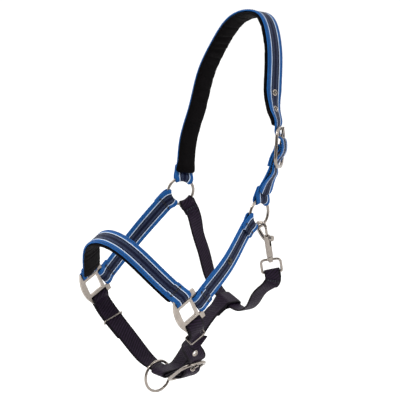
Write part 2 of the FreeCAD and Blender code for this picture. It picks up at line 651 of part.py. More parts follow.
def flared_tail(route, side):
    """The near fold's tail: under the keeper, then standing away from the strap."""
    stations = []
    for distance, lift, back in ((0.5, 0.0, 0.0), (8.0, 0.0, 0.0), (17.0, 0.2, 0.0), (25.0, 2.2, 1.5),
                                 (33.0, 6.0, 5.0), (40.0, 11.0, 10.0)):
        point, tangent, across, out = route.frame(distance)
        stations.append((point + out * (side * (LAYER_STEP + lift)) + across * back, across + tangent * (-0.04 * back)))
    return Route(stations).strap(step=4.0)


def make_chin():
    off = chin_off_route()
    strap = off.strap(step=6.0)
    outward = outward_of(off, off.length - 20, V(-1, 0, -1))
    thread = off.strap(off.length - 8, off.length - 1, thickness=LAYER_STEP, offset=outward * LAYER_STEP / 2)
    strap = strap.fuse([off.strap(off.length - OFF_TAIL, off.length, offset=outward * LAYER_STEP), thread])
    strap = strap.fuse([square_bar_sleeve(-1, "chin"), bar_sleeve(CHIN_BUCKLE, CHIN_ACROSS, CENTRE_BAR / 2)])
    middle = square_point(-1, 0, -BAR_OFFSET)
    strap = strap.cut(rod(middle - TO_CHEEK * 30, middle + TO_CHEEK * 30, SLEEVE_BAR + CLEARANCE))
    strap = strap.cut(rod(CHIN_BUCKLE - CHIN_ACROSS * 30, CHIN_BUCKLE + CHIN_ACROSS * 30, CENTRE_BAR / 2 + CLEARANCE))
    strap = strap.cut(tongue_slot(CHIN_BUCKLE, CHIN_UP, CHIN_OUT))
    save("chin_strap_off", strap)

    near = chin_near_route()
    used_hole = buckle_point(CHIN_BUCKLE, CHIN_UP, CHIN_OUT, HOLE_FROM_BAR, TONGUE_AT_HOLE - 0.4)
    used = near.distance_to(used_hole)
    holes = [used - EYELET_PITCH * 1.6, used]
    strap = near.strap(step=4.5)
    outward = outward_of(near, 12, X_AXIS)
    thread = near.strap(1, 8, thickness=LAYER_STEP, offset=outward * LAYER_STEP / 2)
    strap = strap.fuse([flared_tail(near, outward), thread])
    strap = strap.fuse(square_bar_sleeve(1, "chin"))
    middle = square_point(1, 0, -BAR_OFFSET)
    strap = strap.cut(rod(middle - TO_CHEEK * 30, middle + TO_CHEEK * 30, SLEEVE_BAR + CLEARANCE))
    rings = []
    for distance in holes:
        point, tangent, across, out = near.frame(distance)
        strap = strap.cut(eyelet_room(point, out))
        rings.append(eyelet(point, out))
    save("chin_strap_near", strap)
    save("chin_eyelets", Part.makeCompound(rings))
    save("chin_buckle_frame", buckle_frame(CHIN_BUCKLE, CHIN_UP, CHIN_OUT))
    save("chin_buckle_tongue", buckle_tongue(CHIN_BUCKLE, CHIN_UP, CHIN_OUT))
    off_at = off.length - OFF_KEEPER_AT
    make_keeper("off_keeper", off, off_at, outward_of(off, off_at, V(-1, 0, -1)), 0.0)
    make_keeper("near_keeper", near, NEAR_KEEPER_AT, outward_of(near, NEAR_KEEPER_AT, X_AXIS), 1.6)


def make_keeper(name, route, distance, side, slack):
    """A wire loop round both layers of the strap; slack is spare depth on its outer side."""
    point, tangent, across, out = route.frame(distance)
    middle = point + out * (side * (LAYER_STEP / 2 + slack))
    a = WEBBING_WIDTH / 2 + KEEPER_WIRE / 2 + 0.6
    b = LAYER_STEP / 2 + WEBBING_THICKNESS / 2 + KEEPER_WIRE / 2 + 0.6 + slack
    corners = [middle + across * (u * a) + out * (v * b) for u, v in ((-1, -1), (1, -1), (1, 1), (-1, 1))]
    loop = Part.makeSphere(KEEPER_WIRE / 2, corners[0])
    for start, end in zip(corners, corners[1:] + corners[:1]):
        loop = loop.fuse([rod(start, end, KEEPER_WIRE / 2), Part.makeSphere(KEEPER_WIRE / 2, end)])
    save(name, loop)


def make_lead_ring():
    hang = math.sqrt((LEAD_RING_INSIDE / 2) ** 2 - (WEBBING_WIDTH / 2 + 0.5) ** 2)
    top = V(LEAD_RING_X, -CHIN_FORWARD, -CHIN_DROP + WEBBING_THICKNESS / 2 + 0.2)
    save("lead_ring", ring(top - Z_AXIS * hang, X_AXIS, LEAD_RADIUS))


# Throat and jowl straps

THROAT_LEAVE = ring_direction(-1, THROAT_LEAVE_ANGLE)
LOOP_ALONG = turned(X_AXIS, Y_AXIS, LOOP_SLOPE)
SNAP_UP = unit(V(0, -0.19, 0.98))
SNAP_SIDE = X_AXIS
SNAP_FACE = SNAP_UP.cross(SNAP_SIDE)
EYE_ACROSS = square_to(V(0.66, 0.75, 0), SNAP_UP)
HANG_POINT = RING_CENTRE[1] + ring_direction(1, HANG_ANGLE) * RING_RADIUS


def snap_point(side, down):
    """A point of the snap, from the ring's wire: sideways of the bolt's axis and down it."""
    return HANG_POINT + SNAP_SIDE * (SNAP_AXIS_SHIFT + side) - SNAP_UP * down


EYE_BAR = snap_point(0, EYE_DEPTH)


def throat_route():
    """From the off ring down under the throat and up to the snap's eye."""
    start = RING_CENTRE[-1] + THROAT_LEAVE * (RING_RADIUS + RING_WIRE / 2 + 1.0)
    across = turned(Y_AXIS, Z_AXIS, -OFF_RING_TURN)
    bottom = V(0, -THROAT_FORWARD, -THROAT_DROP)
    end = EYE_BAR - SNAP_UP * (EYE_WIRE / 2 + CLEARANCE + 1.0)
    flat = V(0, 1, -0.06)
    return Route([(start, across), (start + THROAT_LEAVE * 10 + X_AXIS * 2, across),
                  (V(-54, -54, -294), flat), (V(-43, -52, -321), flat), (bottom + V(-32, -3, 26), flat),
                  (bottom - LOOP_ALONG * 12 + V(0, 0, 0.8), flat), (bottom, flat), (bottom + LOOP_ALONG * 14, flat),
                  (bottom + V(31, 0, -6), flat), (V(52, -47, -373), V(0.1, 1, 0)),
                  (V(71, -49, -350), V(0.35, 0.93, 0)), (end - SNAP_UP * 6, EYE_ACROSS), (end, EYE_ACROSS)])


def make_snap():
    tip = HOOK_WIRE / 2
    top = -(RING_WIRE / 2 + tip + 0.7)
    back = -HOOK_REACH
    path = [snap_point(-1.5, 19.5), snap_point(-6.0, 16.5), snap_point(-11.5, 11.5), snap_point(back + 0.4, 5.0),
            snap_point(back, -0.5), snap_point(back + 2.8, top + 0.7), snap_point(-SNAP_AXIS_SHIFT, top),
            snap_point(-3.8, top + 0.5), snap_point(-1.0, top + 2.5), snap_point(0.0, top + 5.0)]
    barrel_top, barrel_low = 12.0, 41.0
    body = pipe(path, tip + 0.9, tip).fuse(rod(snap_point(0, barrel_top), snap_point(0, barrel_low), SNAP_BARREL / 2))
    body = body.cut(rod(snap_point(0, top + 6.0), snap_point(0, barrel_low - 3.0), SNAP_BORE / 2))
    body = body.cut(rod(snap_point(0, barrel_low - 4.0), snap_point(0, barrel_low + 1.0), 1.7))
    knob_way = unit(SNAP_SIDE * 0.95 + SNAP_FACE * 0.3)
    knob_at = 15.5
    slot_from, slot_to = knob_at - 2.5, knob_at - 2.5 + BOLT_TRAVEL + 5.4
    slot_middle = snap_point(0, (slot_from + slot_to) / 2) + knob_way * 5
    slot_size = (slot_to - slot_from, 3.8, 10.0)
    body = body.cut(placed_box(slot_middle, SNAP_UP, SNAP_UP.cross(knob_way), knob_way, slot_size))
    save("snap_body", body)

    bolt = rod(snap_point(0, top + 6.0), snap_point(0, 22.0), BOLT_DIAMETER / 2)
    shoulder = rod(snap_point(0, barrel_top + 1.0), snap_point(0, 22.0), SNAP_BORE / 2 - 0.1)
    stem = rod(snap_point(0, knob_at), snap_point(0, knob_at) + knob_way * 6.0, 1.5)
    knob = rod(snap_point(0, knob_at) + knob_way * 5.0, snap_point(0, knob_at) + knob_way * 8.4, 3.8)
    save("snap_bolt", bolt.fuse([shoulder, stem, knob]))

    spring_top, spring_low = 22.3, 36.0
    helix = Part.makeHelix(2.2, spring_low - spring_top - 0.8, 1.95)
    coil = Part.Wire(Part.makeCircle(0.35, V(1.95, 0, 0), V(0, 1, 0.15)))
    spring = Part.Wire(helix).makePipeShell([coil], True, True)
    spring.Placement = FreeCAD.Placement(snap_point(0, spring_low - 0.4), FreeCAD.Rotation(Z_AXIS, SNAP_UP))
    save("snap_spring", spring)

    half = EYE_ACROSS * (THROAT_WIDTH / 2 + 1.2 + EYE_WIRE / 2)
    high = 46.0
    corners = [snap_point(0, high) - half, snap_point(0, high) + half, EYE_BAR + half, EYE_BAR - half]
    eye = bent_loop(corners, (5.0, 5.0, 2.6, 2.6), EYE_WIRE / 2)
    collar = rod(snap_point(0, barrel_low + 0.4), snap_point(0, high), 3.8)
    pin = rod(snap_point(0, barrel_low - 3.4), snap_point(0, high), 1.6)
    pin_head = rod(snap_point(0, barrel_low - 4.6), snap_point(0, barrel_low - 3.1), 2.5)
    rivet_head = rod(snap_point(0, high), snap_point(0, high + 3.4), 3.0)
    save("snap_swivel_eye", eye.fuse([collar, pin, pin_head, rivet_head]))


def make_throat():
    route = throat_route()
    strap = route.strap(width=THROAT_WIDTH)
    strap = with_fold(route, strap, True, outward_of(route, 5, X_AXIS * -1), THROAT_WIDTH)
    strap = with_fold(route, strap, False, outward_of(route, route.length - 5, X_AXIS), THROAT_WIDTH)
    strap = strap.fuse(ring_sleeve(RING_CENTRE[-1], RING_AXIS[-1], THROAT_LEAVE, RING_RADIUS, THROAT_WIDTH))
    strap = strap.fuse(bar_sleeve(EYE_BAR, EYE_ACROSS, EYE_WIRE / 2, THROAT_WIDTH))
    strap = strap.cut([ring_room(RING_CENTRE[-1], RING_AXIS[-1], RING_RADIUS),
                       rod(EYE_BAR - EYE_ACROSS * 30, EYE_BAR + EYE_ACROSS * 30, EYE_WIRE / 2 + CLEARANCE)])
    save("throat_strap", strap)

    upper = V(0, -THROAT_FORWARD, -THROAT_DROP)
    lower = V(JOWL_LOOP_X, -CHIN_FORWARD - 0.6, -CHIN_DROP - 0.5)
    upper_half = THROAT_WIDTH / 2 + CLEARANCE + 0.4
    lower_half = WEBBING_WIDTH / 2 + CLEARANCE + 0.4
    jowl = Route([(upper + V(0, -upper_half - 2.0, -3.0), X_AXIS), (upper + V(0, -upper_half - 12, -8), X_AXIS),
                  ((upper + lower) / 2 + V(0, -2, 1), X_AXIS), (lower + V(0, lower_half + 11, 9), X_AXIS),
                  (lower + V(0, lower_half + 2.0, 1.0), X_AXIS)])
    strap = jowl.strap()
    strap = strap.fuse(flat_loop(upper, LOOP_ALONG, V(0, 1, -0.06), THROAT_WIDTH, 2.4))
    strap = strap.fuse(flat_loop(lower, X_AXIS, Y_AXIS, WEBBING_WIDTH, 1.2))
    save("jowl_strap", strap)


def flat_loop(centre, along, across, strap_width, extra):
    """A sewn loop round a flat strap that runs along one direction, with its width across."""
    across = square_to(across, along)
    up = along.cross(across)
    inner = (strap_width + 2 * CLEARANCE + 1.2, WEBBING_THICKNESS + 2 * CLEARANCE + extra)
    outer = (inner[0] + 2 * WEBBING_THICKNESS, inner[1] + 2 * WEBBING_THICKNESS)
    shell = placed_box(centre, across, up, along, outer + (WEBBING_WIDTH,))
    return shell.cut(placed_box(centre, across, up, along, inner + (WEBBING_WIDTH + 2,)))


make_crown()
make_crown_buckle()
make_upper_rings()
make_squares()
make_noseband()
make_cheek(-1, "off_cheek_strap")
make_cheek(1, "near_cheek_strap")
make_chin()
make_lead_ring()
make_snap()
make_throat()
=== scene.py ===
import math
import random

import bmesh
import bpy
import numpy as np
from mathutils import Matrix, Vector


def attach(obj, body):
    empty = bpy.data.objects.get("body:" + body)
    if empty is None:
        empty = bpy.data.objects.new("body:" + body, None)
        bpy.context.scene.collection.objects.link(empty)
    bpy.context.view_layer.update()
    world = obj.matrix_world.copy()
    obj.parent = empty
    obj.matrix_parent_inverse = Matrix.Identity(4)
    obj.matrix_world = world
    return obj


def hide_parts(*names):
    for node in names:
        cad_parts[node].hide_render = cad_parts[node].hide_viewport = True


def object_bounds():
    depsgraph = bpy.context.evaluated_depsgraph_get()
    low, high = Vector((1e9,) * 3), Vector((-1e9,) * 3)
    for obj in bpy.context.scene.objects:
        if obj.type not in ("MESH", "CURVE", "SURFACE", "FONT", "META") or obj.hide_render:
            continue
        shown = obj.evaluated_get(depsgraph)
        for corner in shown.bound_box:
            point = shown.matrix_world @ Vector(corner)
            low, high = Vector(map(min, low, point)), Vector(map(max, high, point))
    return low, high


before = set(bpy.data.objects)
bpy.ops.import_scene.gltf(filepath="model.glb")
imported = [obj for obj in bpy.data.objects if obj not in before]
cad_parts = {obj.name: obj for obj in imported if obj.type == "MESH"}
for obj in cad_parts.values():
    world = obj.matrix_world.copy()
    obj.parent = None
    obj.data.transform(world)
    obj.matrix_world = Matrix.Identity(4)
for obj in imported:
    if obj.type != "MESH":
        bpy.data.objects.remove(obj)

bl_info = {
    "name": "Head halter",
    "version": (1, 0, 0),
    "blender": (4, 5, 0),
    "location": "View3D > Sidebar > Halter",
    "description": "Builds a horse's head halter in webbing, padding and plated hardware round its fixed frame",
    "category": "Add Mesh",
}

CAD_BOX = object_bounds()
MM = 0.001

# Sizes below are in millimetres; meshes are scaled to metres when they are made.
LAYER_GAP = 0.25
CLEARANCE = 0.35
FOLD_LENGTH = 15.0
RING_WIRE = 3.8
RING_RADIUS = 18.0
LEAD_RADIUS = 20.75
BUCKLE_LENGTH = 54.0
BUCKLE_WIDTH = 41.8
BUCKLE_BAR = 4.4
BUCKLE_CORNER = 14.0
CENTRE_BAR = 3.6
TONGUE_DIAMETER = 2.6
EYELET_BORE = 5.6
EYELET_RIM = 1.5
EYELET_PITCH = 22.0
HOLE_FROM_BAR = 12.6
KEEPER_WIRE = 2.0
EYE_WIRE = 3.4
EYE_DEPTH = 64.0
SQUARE_WINDOW = 21.0
SQUARE_BAR = 4.0

X_AXIS = np.array([1.0, 0.0, 0.0])
Y_AXIS = np.array([0.0, 1.0, 0.0])
Z_AXIS = np.array([0.0, 0.0, 1.0])


# Settings that a user would change

class HalterSizes(bpy.types.PropertyGroup):
    """Sizes of the soft parts and their sewing"""
    padding_width: bpy.props.FloatProperty(
        name="Padding width", description="Width of the pads under crown and noseband", default=0.029,
            min=0.02,
        max=0.035, subtype="DISTANCE", unit="LENGTH")
    padding_thickness: bpy.props.FloatProperty(
        name="Padding thickness", description="Thickness of the pads", default=0.006, min=0.003, max=0.008,
        precision=4, subtype="DISTANCE", unit="LENGTH")
    stitch_pitch: bpy.props.FloatProperty(
        name="Stitch pitch", description="From one stitch to the next", default=0.0034, min=0.002, max=0.006,
        precision=4, subtype="DISTANCE", unit="LENGTH")
    thread_diameter: bpy.props.FloatProperty(
        name="Thread diameter", description="Diameter of the sewing thread", default=0.0006, min=0.0003,
            max=0.0012,
        precision=4, subtype="DISTANCE", unit="LENGTH")


def colour_property(name, description, default):
    return bpy.props.FloatVectorProperty(
        name=name, description=description, default=default, size=4, min=0.0, max=1.0, subtype="COLOR")


class HalterColours(bpy.types.PropertyGroup):
    """Colours of the webbing, padding and plating"""
    edge_blue: colour_property("Edge bands", "The webbing's blue edge bands", (0.011, 0.105, 0.350, 1.0))
    line_white: colour_property("Lines", "The webbing's thin white lines", (0.62, 0.74, 0.92, 1.0))
    band_grey: colour_property("Inner bands", "The bands inside the white lines", (0.060, 0.082, 0.150, 1.0))
    middle_navy: colour_property("Middle", "The webbing's middle band", (0.0035, 0.0065, 0.030, 1.0))
    webbing_black: colour_property("Dark webbing", "The plain straps", (0.0055, 0.0028, 0.0075, 1.0))
    padding_black: colour_property("Padding", "The pads' plush face", (0.0022, 0.0016, 0.0020, 1.0))
    thread: colour_property("Thread", "The sewing thread", (0.010, 0.011, 0.022, 1.0))
    nickel: colour_property("Plating", "The hardware's plating", (0.30, 0.265, 0.235, 1.0))


class HalterStage(bpy.types.PropertyGroup):
    """The floor, the lights and the lens"""
    floor_drop: bpy.props.FloatProperty(
        name="Floor drop", description="Gap between the lead ring and the floor", default=0.12, min=0.0,
            max=1.0,
        subtype="DISTANCE", unit="LENGTH")
    key_power: bpy.props.FloatProperty(
        name="Key light", description="Power of the main soft light", default=34.0, min=0.0, max=500.0,
            unit="POWER")
    fill_power: bpy.props.FloatProperty(
        name="Fill light", description="Power of the side soft light", default=12.0, min=0.0, max=500.0,
            unit="POWER")
    room_light: bpy.props.FloatProperty(
        name="Room light", description="Strength of the light from the pale room", default=1.45, min=0.0,
            max=5.0)
    lens: bpy.props.FloatProperty(
        name="Lens", description="Focal length of the camera", default=177.84, min=20.0, max=400.0,
            unit="CAMERA")


# Vectors

def vec(*numbers):
    return np.array(numbers, float)


def unit(vector):
    vector = np.asarray(vector, float)
    return vector / np.linalg.norm(vector)


def square_to(vector, direction):
    """The part of a vector that is square to a direction, at length one."""
    direction = unit(direction)
    return unit(vector - direction * np.dot(vector, direction))


def turned(vector, axis, degrees):
    axis = unit(axis)
    angle = math.radians(degrees)
    vector = np.asarray(vector, float)
    return (vector * math.cos(angle) + np.cross(axis, vector) * math.sin(angle)
            + axis * np.dot(axis, vector) * (1 - math.cos(angle)))


def spline(knots, values, ends="cubic"):
    """A smooth curve through values at knots; gives a function of the knot value."""
    knots = np.asarray(knots, float)
    values = np.asarray(values, float)
    shape = values.shape[1:]
    values = values.reshape(len(knots), -1)
    gaps = np.diff(knots)
    slopes = np.diff(values, axis=0) / gaps[:, None]
    count = len(knots)
    matrix = np.zeros((count, count))
    right = np.zeros_like(values)
    for i in range(1, count - 1):
        matrix[i, i - 1] = 1 / gaps[i - 1]
        matrix[i, i] = 2 / gaps[i - 1] + 2 / gaps[i]
        matrix[i, i + 1] = 1 / gaps[i]
        right[i] = 3 * (slopes[i - 1] / gaps[i - 1] + slopes[i] / gaps[i])
    matrix[0, 0] = matrix[-1, -1] = 1.0
    right[0] = end_slope(knots[:4], values[:4]) if ends == "cubic" and count > 3 else slopes[0]
    right[-1] = end_slope(knots[::-1][:4], values[::-1][:4]) if ends == "cubic" and count > 3 else slopes[-1]
    tangents = np.linalg.solve(matrix, right)

    def at(where):
        where = np.atleast_1d(where)
        index = np.clip(np.searchsorted(knots, where, side="right") - 1, 0, count - 2)
        gap = gaps[index]
        t = ((where - knots[index]) / gap)[:, None]
        gap = gap[:, None]
        a, b, ta, tb = values[index], values[index + 1], tangents[index], tangents[index + 1]
        result = ((2 * t**3 - 3 * t**2 + 1) * a + (t**3 - 2 * t**2 + t) * gap * ta
                  + (3 * t**2 - 2 * t**3) * b + (t**3 - t**2) * gap * tb)
        return result.reshape((len(where),) + shape)

    return at


def end_slope(knots, values):
    """The slope at the first knot of the cubic through four values."""
    matrix = np.vander(knots - knots[0], 4, increasing=True)
    return np.linalg.solve(matrix, values)[1]


class Route:
    """A strap's middle line with the direction of its width along it."""

    def __init__(self, stations):
        points = np.array([point for point, width in stations], float)
        self.widths = np.array([unit(width) for point, width in stations])
        knots = np.concatenate([[0.0], np.cumsum(np.linalg.norm(np.diff(points, axis=0), axis=1))])
        self.curve = spline(knots, points)
        self.fine = np.unique(np.concatenate([np.linspace(0, knots[-1], 1500), knots]))
        line = self.curve(self.fine)
        self.gone = np.concatenate([[0.0], np.cumsum(np.linalg.norm(np.diff(line, axis=0), axis=1))])
        self.length = self.gone[-1]
        self.marks = np.interp(knots, self.fine, self.gone)

    def distance_to(self, point):
        line = self.curve(self.fine)
        return self.gone[np.argmin(np.linalg.norm(line - point, axis=1))]

    def frame(self, distance):
        """Point, tangent, width direction and outward normal at a distance from the start."""
        k = np.interp(distance, self.gone, self.fine)
        span = self.fine[-1]
        low, high = max(0.0, k - 0.05), min(span, k + 0.05)
        tangent = unit(self.curve(high)[0] - self.curve(low)[0])
        width = np.array([np.interp(distance, self.marks, self.widths[:, c]) for c in range(3)])
        width = square_to(width, tangent)
        return self.curve(k)[0], tangent, width, np.cross(tangent, width)

    def spot(self, distance, across=0.0, out=0.0):
        point, tangent, width, normal = self.frame(distance)
        return point + width * across + normal * out


# Places on the head, the same as the frame's

def setting(group, name):
    return getattr(getattr(bpy.context.scene, group), name)


WEBBING_WIDTH = 25.0
THROAT_WIDTH = 20.0
WEBBING_THICKNESS = 2.4
PADDING_THICKNESS = 6.0
LAYER_STEP = WEBBING_THICKNESS + LAYER_GAP
BUCKLE_REACH = (BUCKLE_LENGTH - BUCKLE_BAR) / 2
SLEEVE_BAR = SQUARE_BAR / 2 + 0.25
SLOT = WEBBING_THICKNESS + 3 * CLEARANCE
BAR_OFFSET = SQUARE_WINDOW / 2 + SQUARE_BAR + SLOT + SQUARE_BAR / 2
SLIDE = SQUARE_WINDOW / 2 + SQUARE_BAR - (WEBBING_WIDTH + 1.0) / 2
RING_HALF_SPREAD = 80.0
CROWN_TILT = unit(vec(0, 62, 241))
CROWN_LENGTH = math.hypot(62, 241)
CROWN_ACROSS = unit(vec(0, 241, -62))
RING_CENTRE = {1: vec(80, -62, -241), -1: vec(-80, -62, -241)}
RING_TURN = {1: -8.0, -1: 20.0}
RING_AXIS = {side: turned(X_AXIS, Z_AXIS, -RING_TURN[side]) for side in (-1, 1)}
SQUARE_HALF_SPREAD = 98.0
SQUARE_LIFT = 4.0      # the near square is this much higher than the middle, the off one lower
NOSE_ARCH_RISE = 80.0
SQUARE_CENTRE = {side: vec(side * SQUARE_HALF_SPREAD, -199, -347 + side * SQUARE_LIFT) for side in (1, -1)}
TO_NOSE = turned(Z_AXIS, X_AXIS, 26.0)
TO_CHEEK = turned(Y_AXIS, X_AXIS, 26.0)
TO_NOSE_PLANE = turned(Z_AXIS, X_AXIS, 29.0)
NOSE_ACROSS = turned(Y_AXIS, X_AXIS, 29.0)
BUCKLE_TURN = 34.0
BUCKLE_OUT = turned(X_AXIS, Z_AXIS, BUCKLE_TURN)
BUCKLE_UP = square_to(CROWN_TILT, BUCKLE_OUT)
BUCKLE_ACROSS = np.cross(BUCKLE_UP, BUCKLE_OUT)
BEHIND_BAR = -(BUCKLE_BAR / 2 + WEBBING_THICKNESS / 2 + 2 * CLEARANCE)
OVER_CENTRE = CENTRE_BAR / 2 + 2 * CLEARANCE + WEBBING_THICKNESS * 1.5
TONGUE_LIFT = BUCKLE_BAR / 2 + TONGUE_DIAMETER / 2 + 0.2
TONGUE_AT_HOLE = TONGUE_LIFT * HOLE_FROM_BAR / BUCKLE_REACH
WEAVE = [
    (BUCKLE_REACH + 4, BEHIND_BAR), (BUCKLE_REACH - 5, BEHIND_BAR + 0.1),
    (HOLE_FROM_BAR + 1.6, TONGUE_AT_HOLE - 3.0), (HOLE_FROM_BAR - 1.6, TONGUE_AT_HOLE + 2.2),
    (5.5, OVER_CENTRE - 0.1), (-1.0, OVER_CENTRE + 0.3), (-9.0, OVER_CENTRE - 2.0), (-16.5, BEHIND_BAR + 3.0),
    (-BUCKLE_REACH + 1, BEHIND_BAR), (-BUCKLE_REACH - 6, BEHIND_BAR),
]
CHIN_UP = unit(vec(0.80, -0.02, 0.60))
CHIN_OUT = square_to(vec(0.60, 0.0, -0.80), CHIN_UP)
CHIN_BUCKLE = vec(46.0, -156.0, -444.0)
CHIN_ACROSS = np.cross(CHIN_OUT, CHIN_UP)
CHIN_BOTTOM = vec(-17.0, -154.0, -456.0)
JOWL_LOOP_X = 1.5
OFF_KEEPER_AT = 34.0
NEAR_KEEPER_AT = 16.0
THROAT_BOTTOM = vec(0.0, -46.0, -380.0)
LOOP_ALONG = turned(X_AXIS, Y_AXIS, 18.0)
SNAP_UP = unit(vec(0, -0.19, 0.98))


def ring_direction(side, angle):
    """A direction in a ring's plane, from +Y towards +Z."""
    radians = math.radians(angle)
    return square_to(vec(0, math.cos(radians), math.sin(radians)), RING_AXIS[side])


THROAT_LEAVE = ring_direction(-1, 300.0)
EYE_ACROSS = square_to(vec(0.66, 0.75, 0), SNAP_UP)
HANG_POINT = RING_CENTRE[1] + ring_direction(1, -75.0) * RING_RADIUS


EYE_BAR = HANG_POINT + X_AXIS * 8.5 - SNAP_UP * EYE_DEPTH


def crown_point(x_share, rise_share):
    return vec(x_share * RING_HALF_SPREAD, 0, 0) + CROWN_TILT * (rise_share * CROWN_LENGTH)


BUCKLE_CENTRE = crown_point(1.17, -0.64)


def buckle_point(centre, up, out, along, away):
    return centre + up * along + out * away


def square_point(side, cheek, nose):
    return SQUARE_CENTRE[side] + TO_CHEEK * cheek + TO_NOSE * nose


def crown_route():
    """From the off ring over the poll, down to the buckle and on to the free tip."""
    off = RING_CENTRE[-1] + CROWN_TILT * (RING_RADIUS + RING_WIRE / 2 + 1.0)
    stations = [(off, turned(Y_AXIS, Z_AXIS, -RING_TURN[-1]))]
    shares = [(-1.05, -0.84), (-1.10, -0.71), (-1.03, -0.54), (-0.98, -0.345), (-0.77, -0.165),
        (-0.50, -0.034)]
    stations += [(crown_point(x, rise), CROWN_ACROSS) for x, rise in shares]
    stations.append((CROWN_TILT * (PADDING_THICKNESS + WEBBING_THICKNESS / 2 + LAYER_GAP), CROWN_ACROSS))
    shares = [(0.24, 0.018), (0.49, -0.065), (0.67, -0.20), (0.79, -0.36)]
    stations += [(crown_point(x, rise), CROWN_ACROSS) for x, rise in shares]
    stations.append((crown_point(0.90, -0.455), turned(CROWN_ACROSS, Z_AXIS, BUCKLE_TURN * 0.6)))
    stations += [(buckle_point(BUCKLE_CENTRE, BUCKLE_UP, BUCKLE_OUT, *place),
        BUCKLE_ACROSS) for place in WEAVE]
    billet = billet_route()
    for from_ring in (27.0, 16.0, 5.0):
        point, tangent, across, out = billet.frame(billet.length - from_ring)
        stations.append((point + out * (LAYER_STEP + 0.6), across))
    return Route(stations)


def billet_route():
    """From the centre bar of the crown buckle down to the near ring."""
    places = [(-4.0, -0.8), (-12.0, -5.2), (-BUCKLE_REACH, BEHIND_BAR - LAYER_STEP - CLEARANCE - 1.3)]
    top, mid, low = [buckle_point(BUCKLE_CENTRE, BUCKLE_UP, BUCKLE_OUT, *place) for place in places]
    ring_top = RING_CENTRE[1] + CROWN_TILT * (RING_RADIUS + RING_WIRE / 2 + 1.0)
    ring_across = turned(Y_AXIS, Z_AXIS, -RING_TURN[1])
    above = ring_top + CROWN_TILT * 14 + X_AXIS
    return Route([(top, BUCKLE_ACROSS), (mid, BUCKLE_ACROSS), (low, BUCKLE_ACROSS),
                  ((low + above) / 2 + X_AXIS, (BUCKLE_ACROSS + ring_across) / 2),
                  (above, ring_across), (ring_top, ring_across)])


def nose_route():
    base = (SQUARE_CENTRE[1] + SQUARE_CENTRE[-1]) / 2 + TO_NOSE * BAR_OFFSET + NOSE_ACROSS * SLIDE
    shape = [(-0.97, 0.035), (-0.89, 0.15), (-0.79, 0.335), (-0.685, 0.53), (-0.55, 0.73), (-0.31, 0.93),
        (0.0, 1.0),
             (0.26, 0.90), (0.45, 0.715), (0.60, 0.51), (0.735, 0.32), (0.88, 0.14), (0.97, 0.035)]
    stations = []
    for x, rise in shape:
        point = base + vec(x * SQUARE_HALF_SPREAD, 0,
            x * SQUARE_LIFT) + TO_NOSE_PLANE * (rise * NOSE_ARCH_RISE)
        stations.append((point, NOSE_ACROSS))
    return Route(stations)


def cheek_route(side):
    bar = square_point(side, BAR_OFFSET, 0)
    start = bar + TO_CHEEK * (SLEEVE_BAR + CLEARANCE + 1.0)
    leave = ring_direction(side, 207.0)
    end = RING_CENTRE[side] + leave * (RING_RADIUS + RING_WIRE / 2 + 1.0)
    run = end - start
    bow = X_AXIS * (side * 5.0)
    ring_across = np.cross(square_to(RING_AXIS[side], leave), leave)
    if np.dot(ring_across, TO_NOSE) < 0:
        ring_across = -ring_across
    return Route([(start, TO_NOSE), (start + run * 0.12 + TO_CHEEK + bow * 0.25, TO_NOSE),
                  (start + run * 0.5 + bow - Z_AXIS * 2.0, (TO_NOSE + ring_across) / 2),
                  (start + run * 0.86 + bow * 0.3, ring_across), (end, ring_across)])


def chin_off_route():
    """From the chin buckle's centre bar, through the lead ring and up to the off square."""
    places = [(-4.0, -0.8), (-12.0, -5.0), (-BUCKLE_REACH, BEHIND_BAR - LAYER_STEP - CLEARANCE)]
    stations = [(buckle_point(CHIN_BUCKLE, CHIN_UP, CHIN_OUT, *place), CHIN_ACROSS) for place in places]
    bottom = CHIN_BOTTOM
    start = square_point(-1, SLIDE, -BAR_OFFSET) - TO_NOSE * (SLEEVE_BAR + CLEARANCE + 1.0)
    back = -Y_AXIS
    low = bottom + (start - bottom) * 0.40 + vec(-7, -3, 0)
    high = bottom + (start - bottom) * 0.72 + vec(-7, -2, 0)
    stations += [(vec(15.0, -155.2, -456.3), back), (vec(4.0, -154.6, -456.6), back), (bottom, back),
                 (bottom + vec(-12, -1, 2.5), back), (low, (back - TO_CHEEK) / 2), (high, -TO_CHEEK),
                 (start - TO_NOSE * 6.0, -TO_CHEEK), (start, -TO_CHEEK)]
    return Route(stations)


def chin_near_route():
    """From the near square's chin bar down through the buckle to the free tip."""
    start = square_point(1, SLIDE, -BAR_OFFSET) - TO_NOSE * (SLEEVE_BAR + CLEARANCE + 1.0)
    top = buckle_point(CHIN_BUCKLE, CHIN_UP, CHIN_OUT, BUCKLE_REACH + 8, BEHIND_BAR)
    stations = [(start, TO_CHEEK), (start - TO_NOSE * 6.0, TO_CHEEK),
                (start + (top - start) * 0.36 + vec(-5, -5, 0), TO_CHEEK),
                (start + (top - start) * 0.70 + vec(-5, -5, 0), (TO_CHEEK - CHIN_ACROSS) / 2)]
    stations += [(buckle_point(CHIN_BUCKLE, CHIN_UP, CHIN_OUT, *place), -CHIN_ACROSS) for place in WEAVE[:-1]]
    return Route(stations)


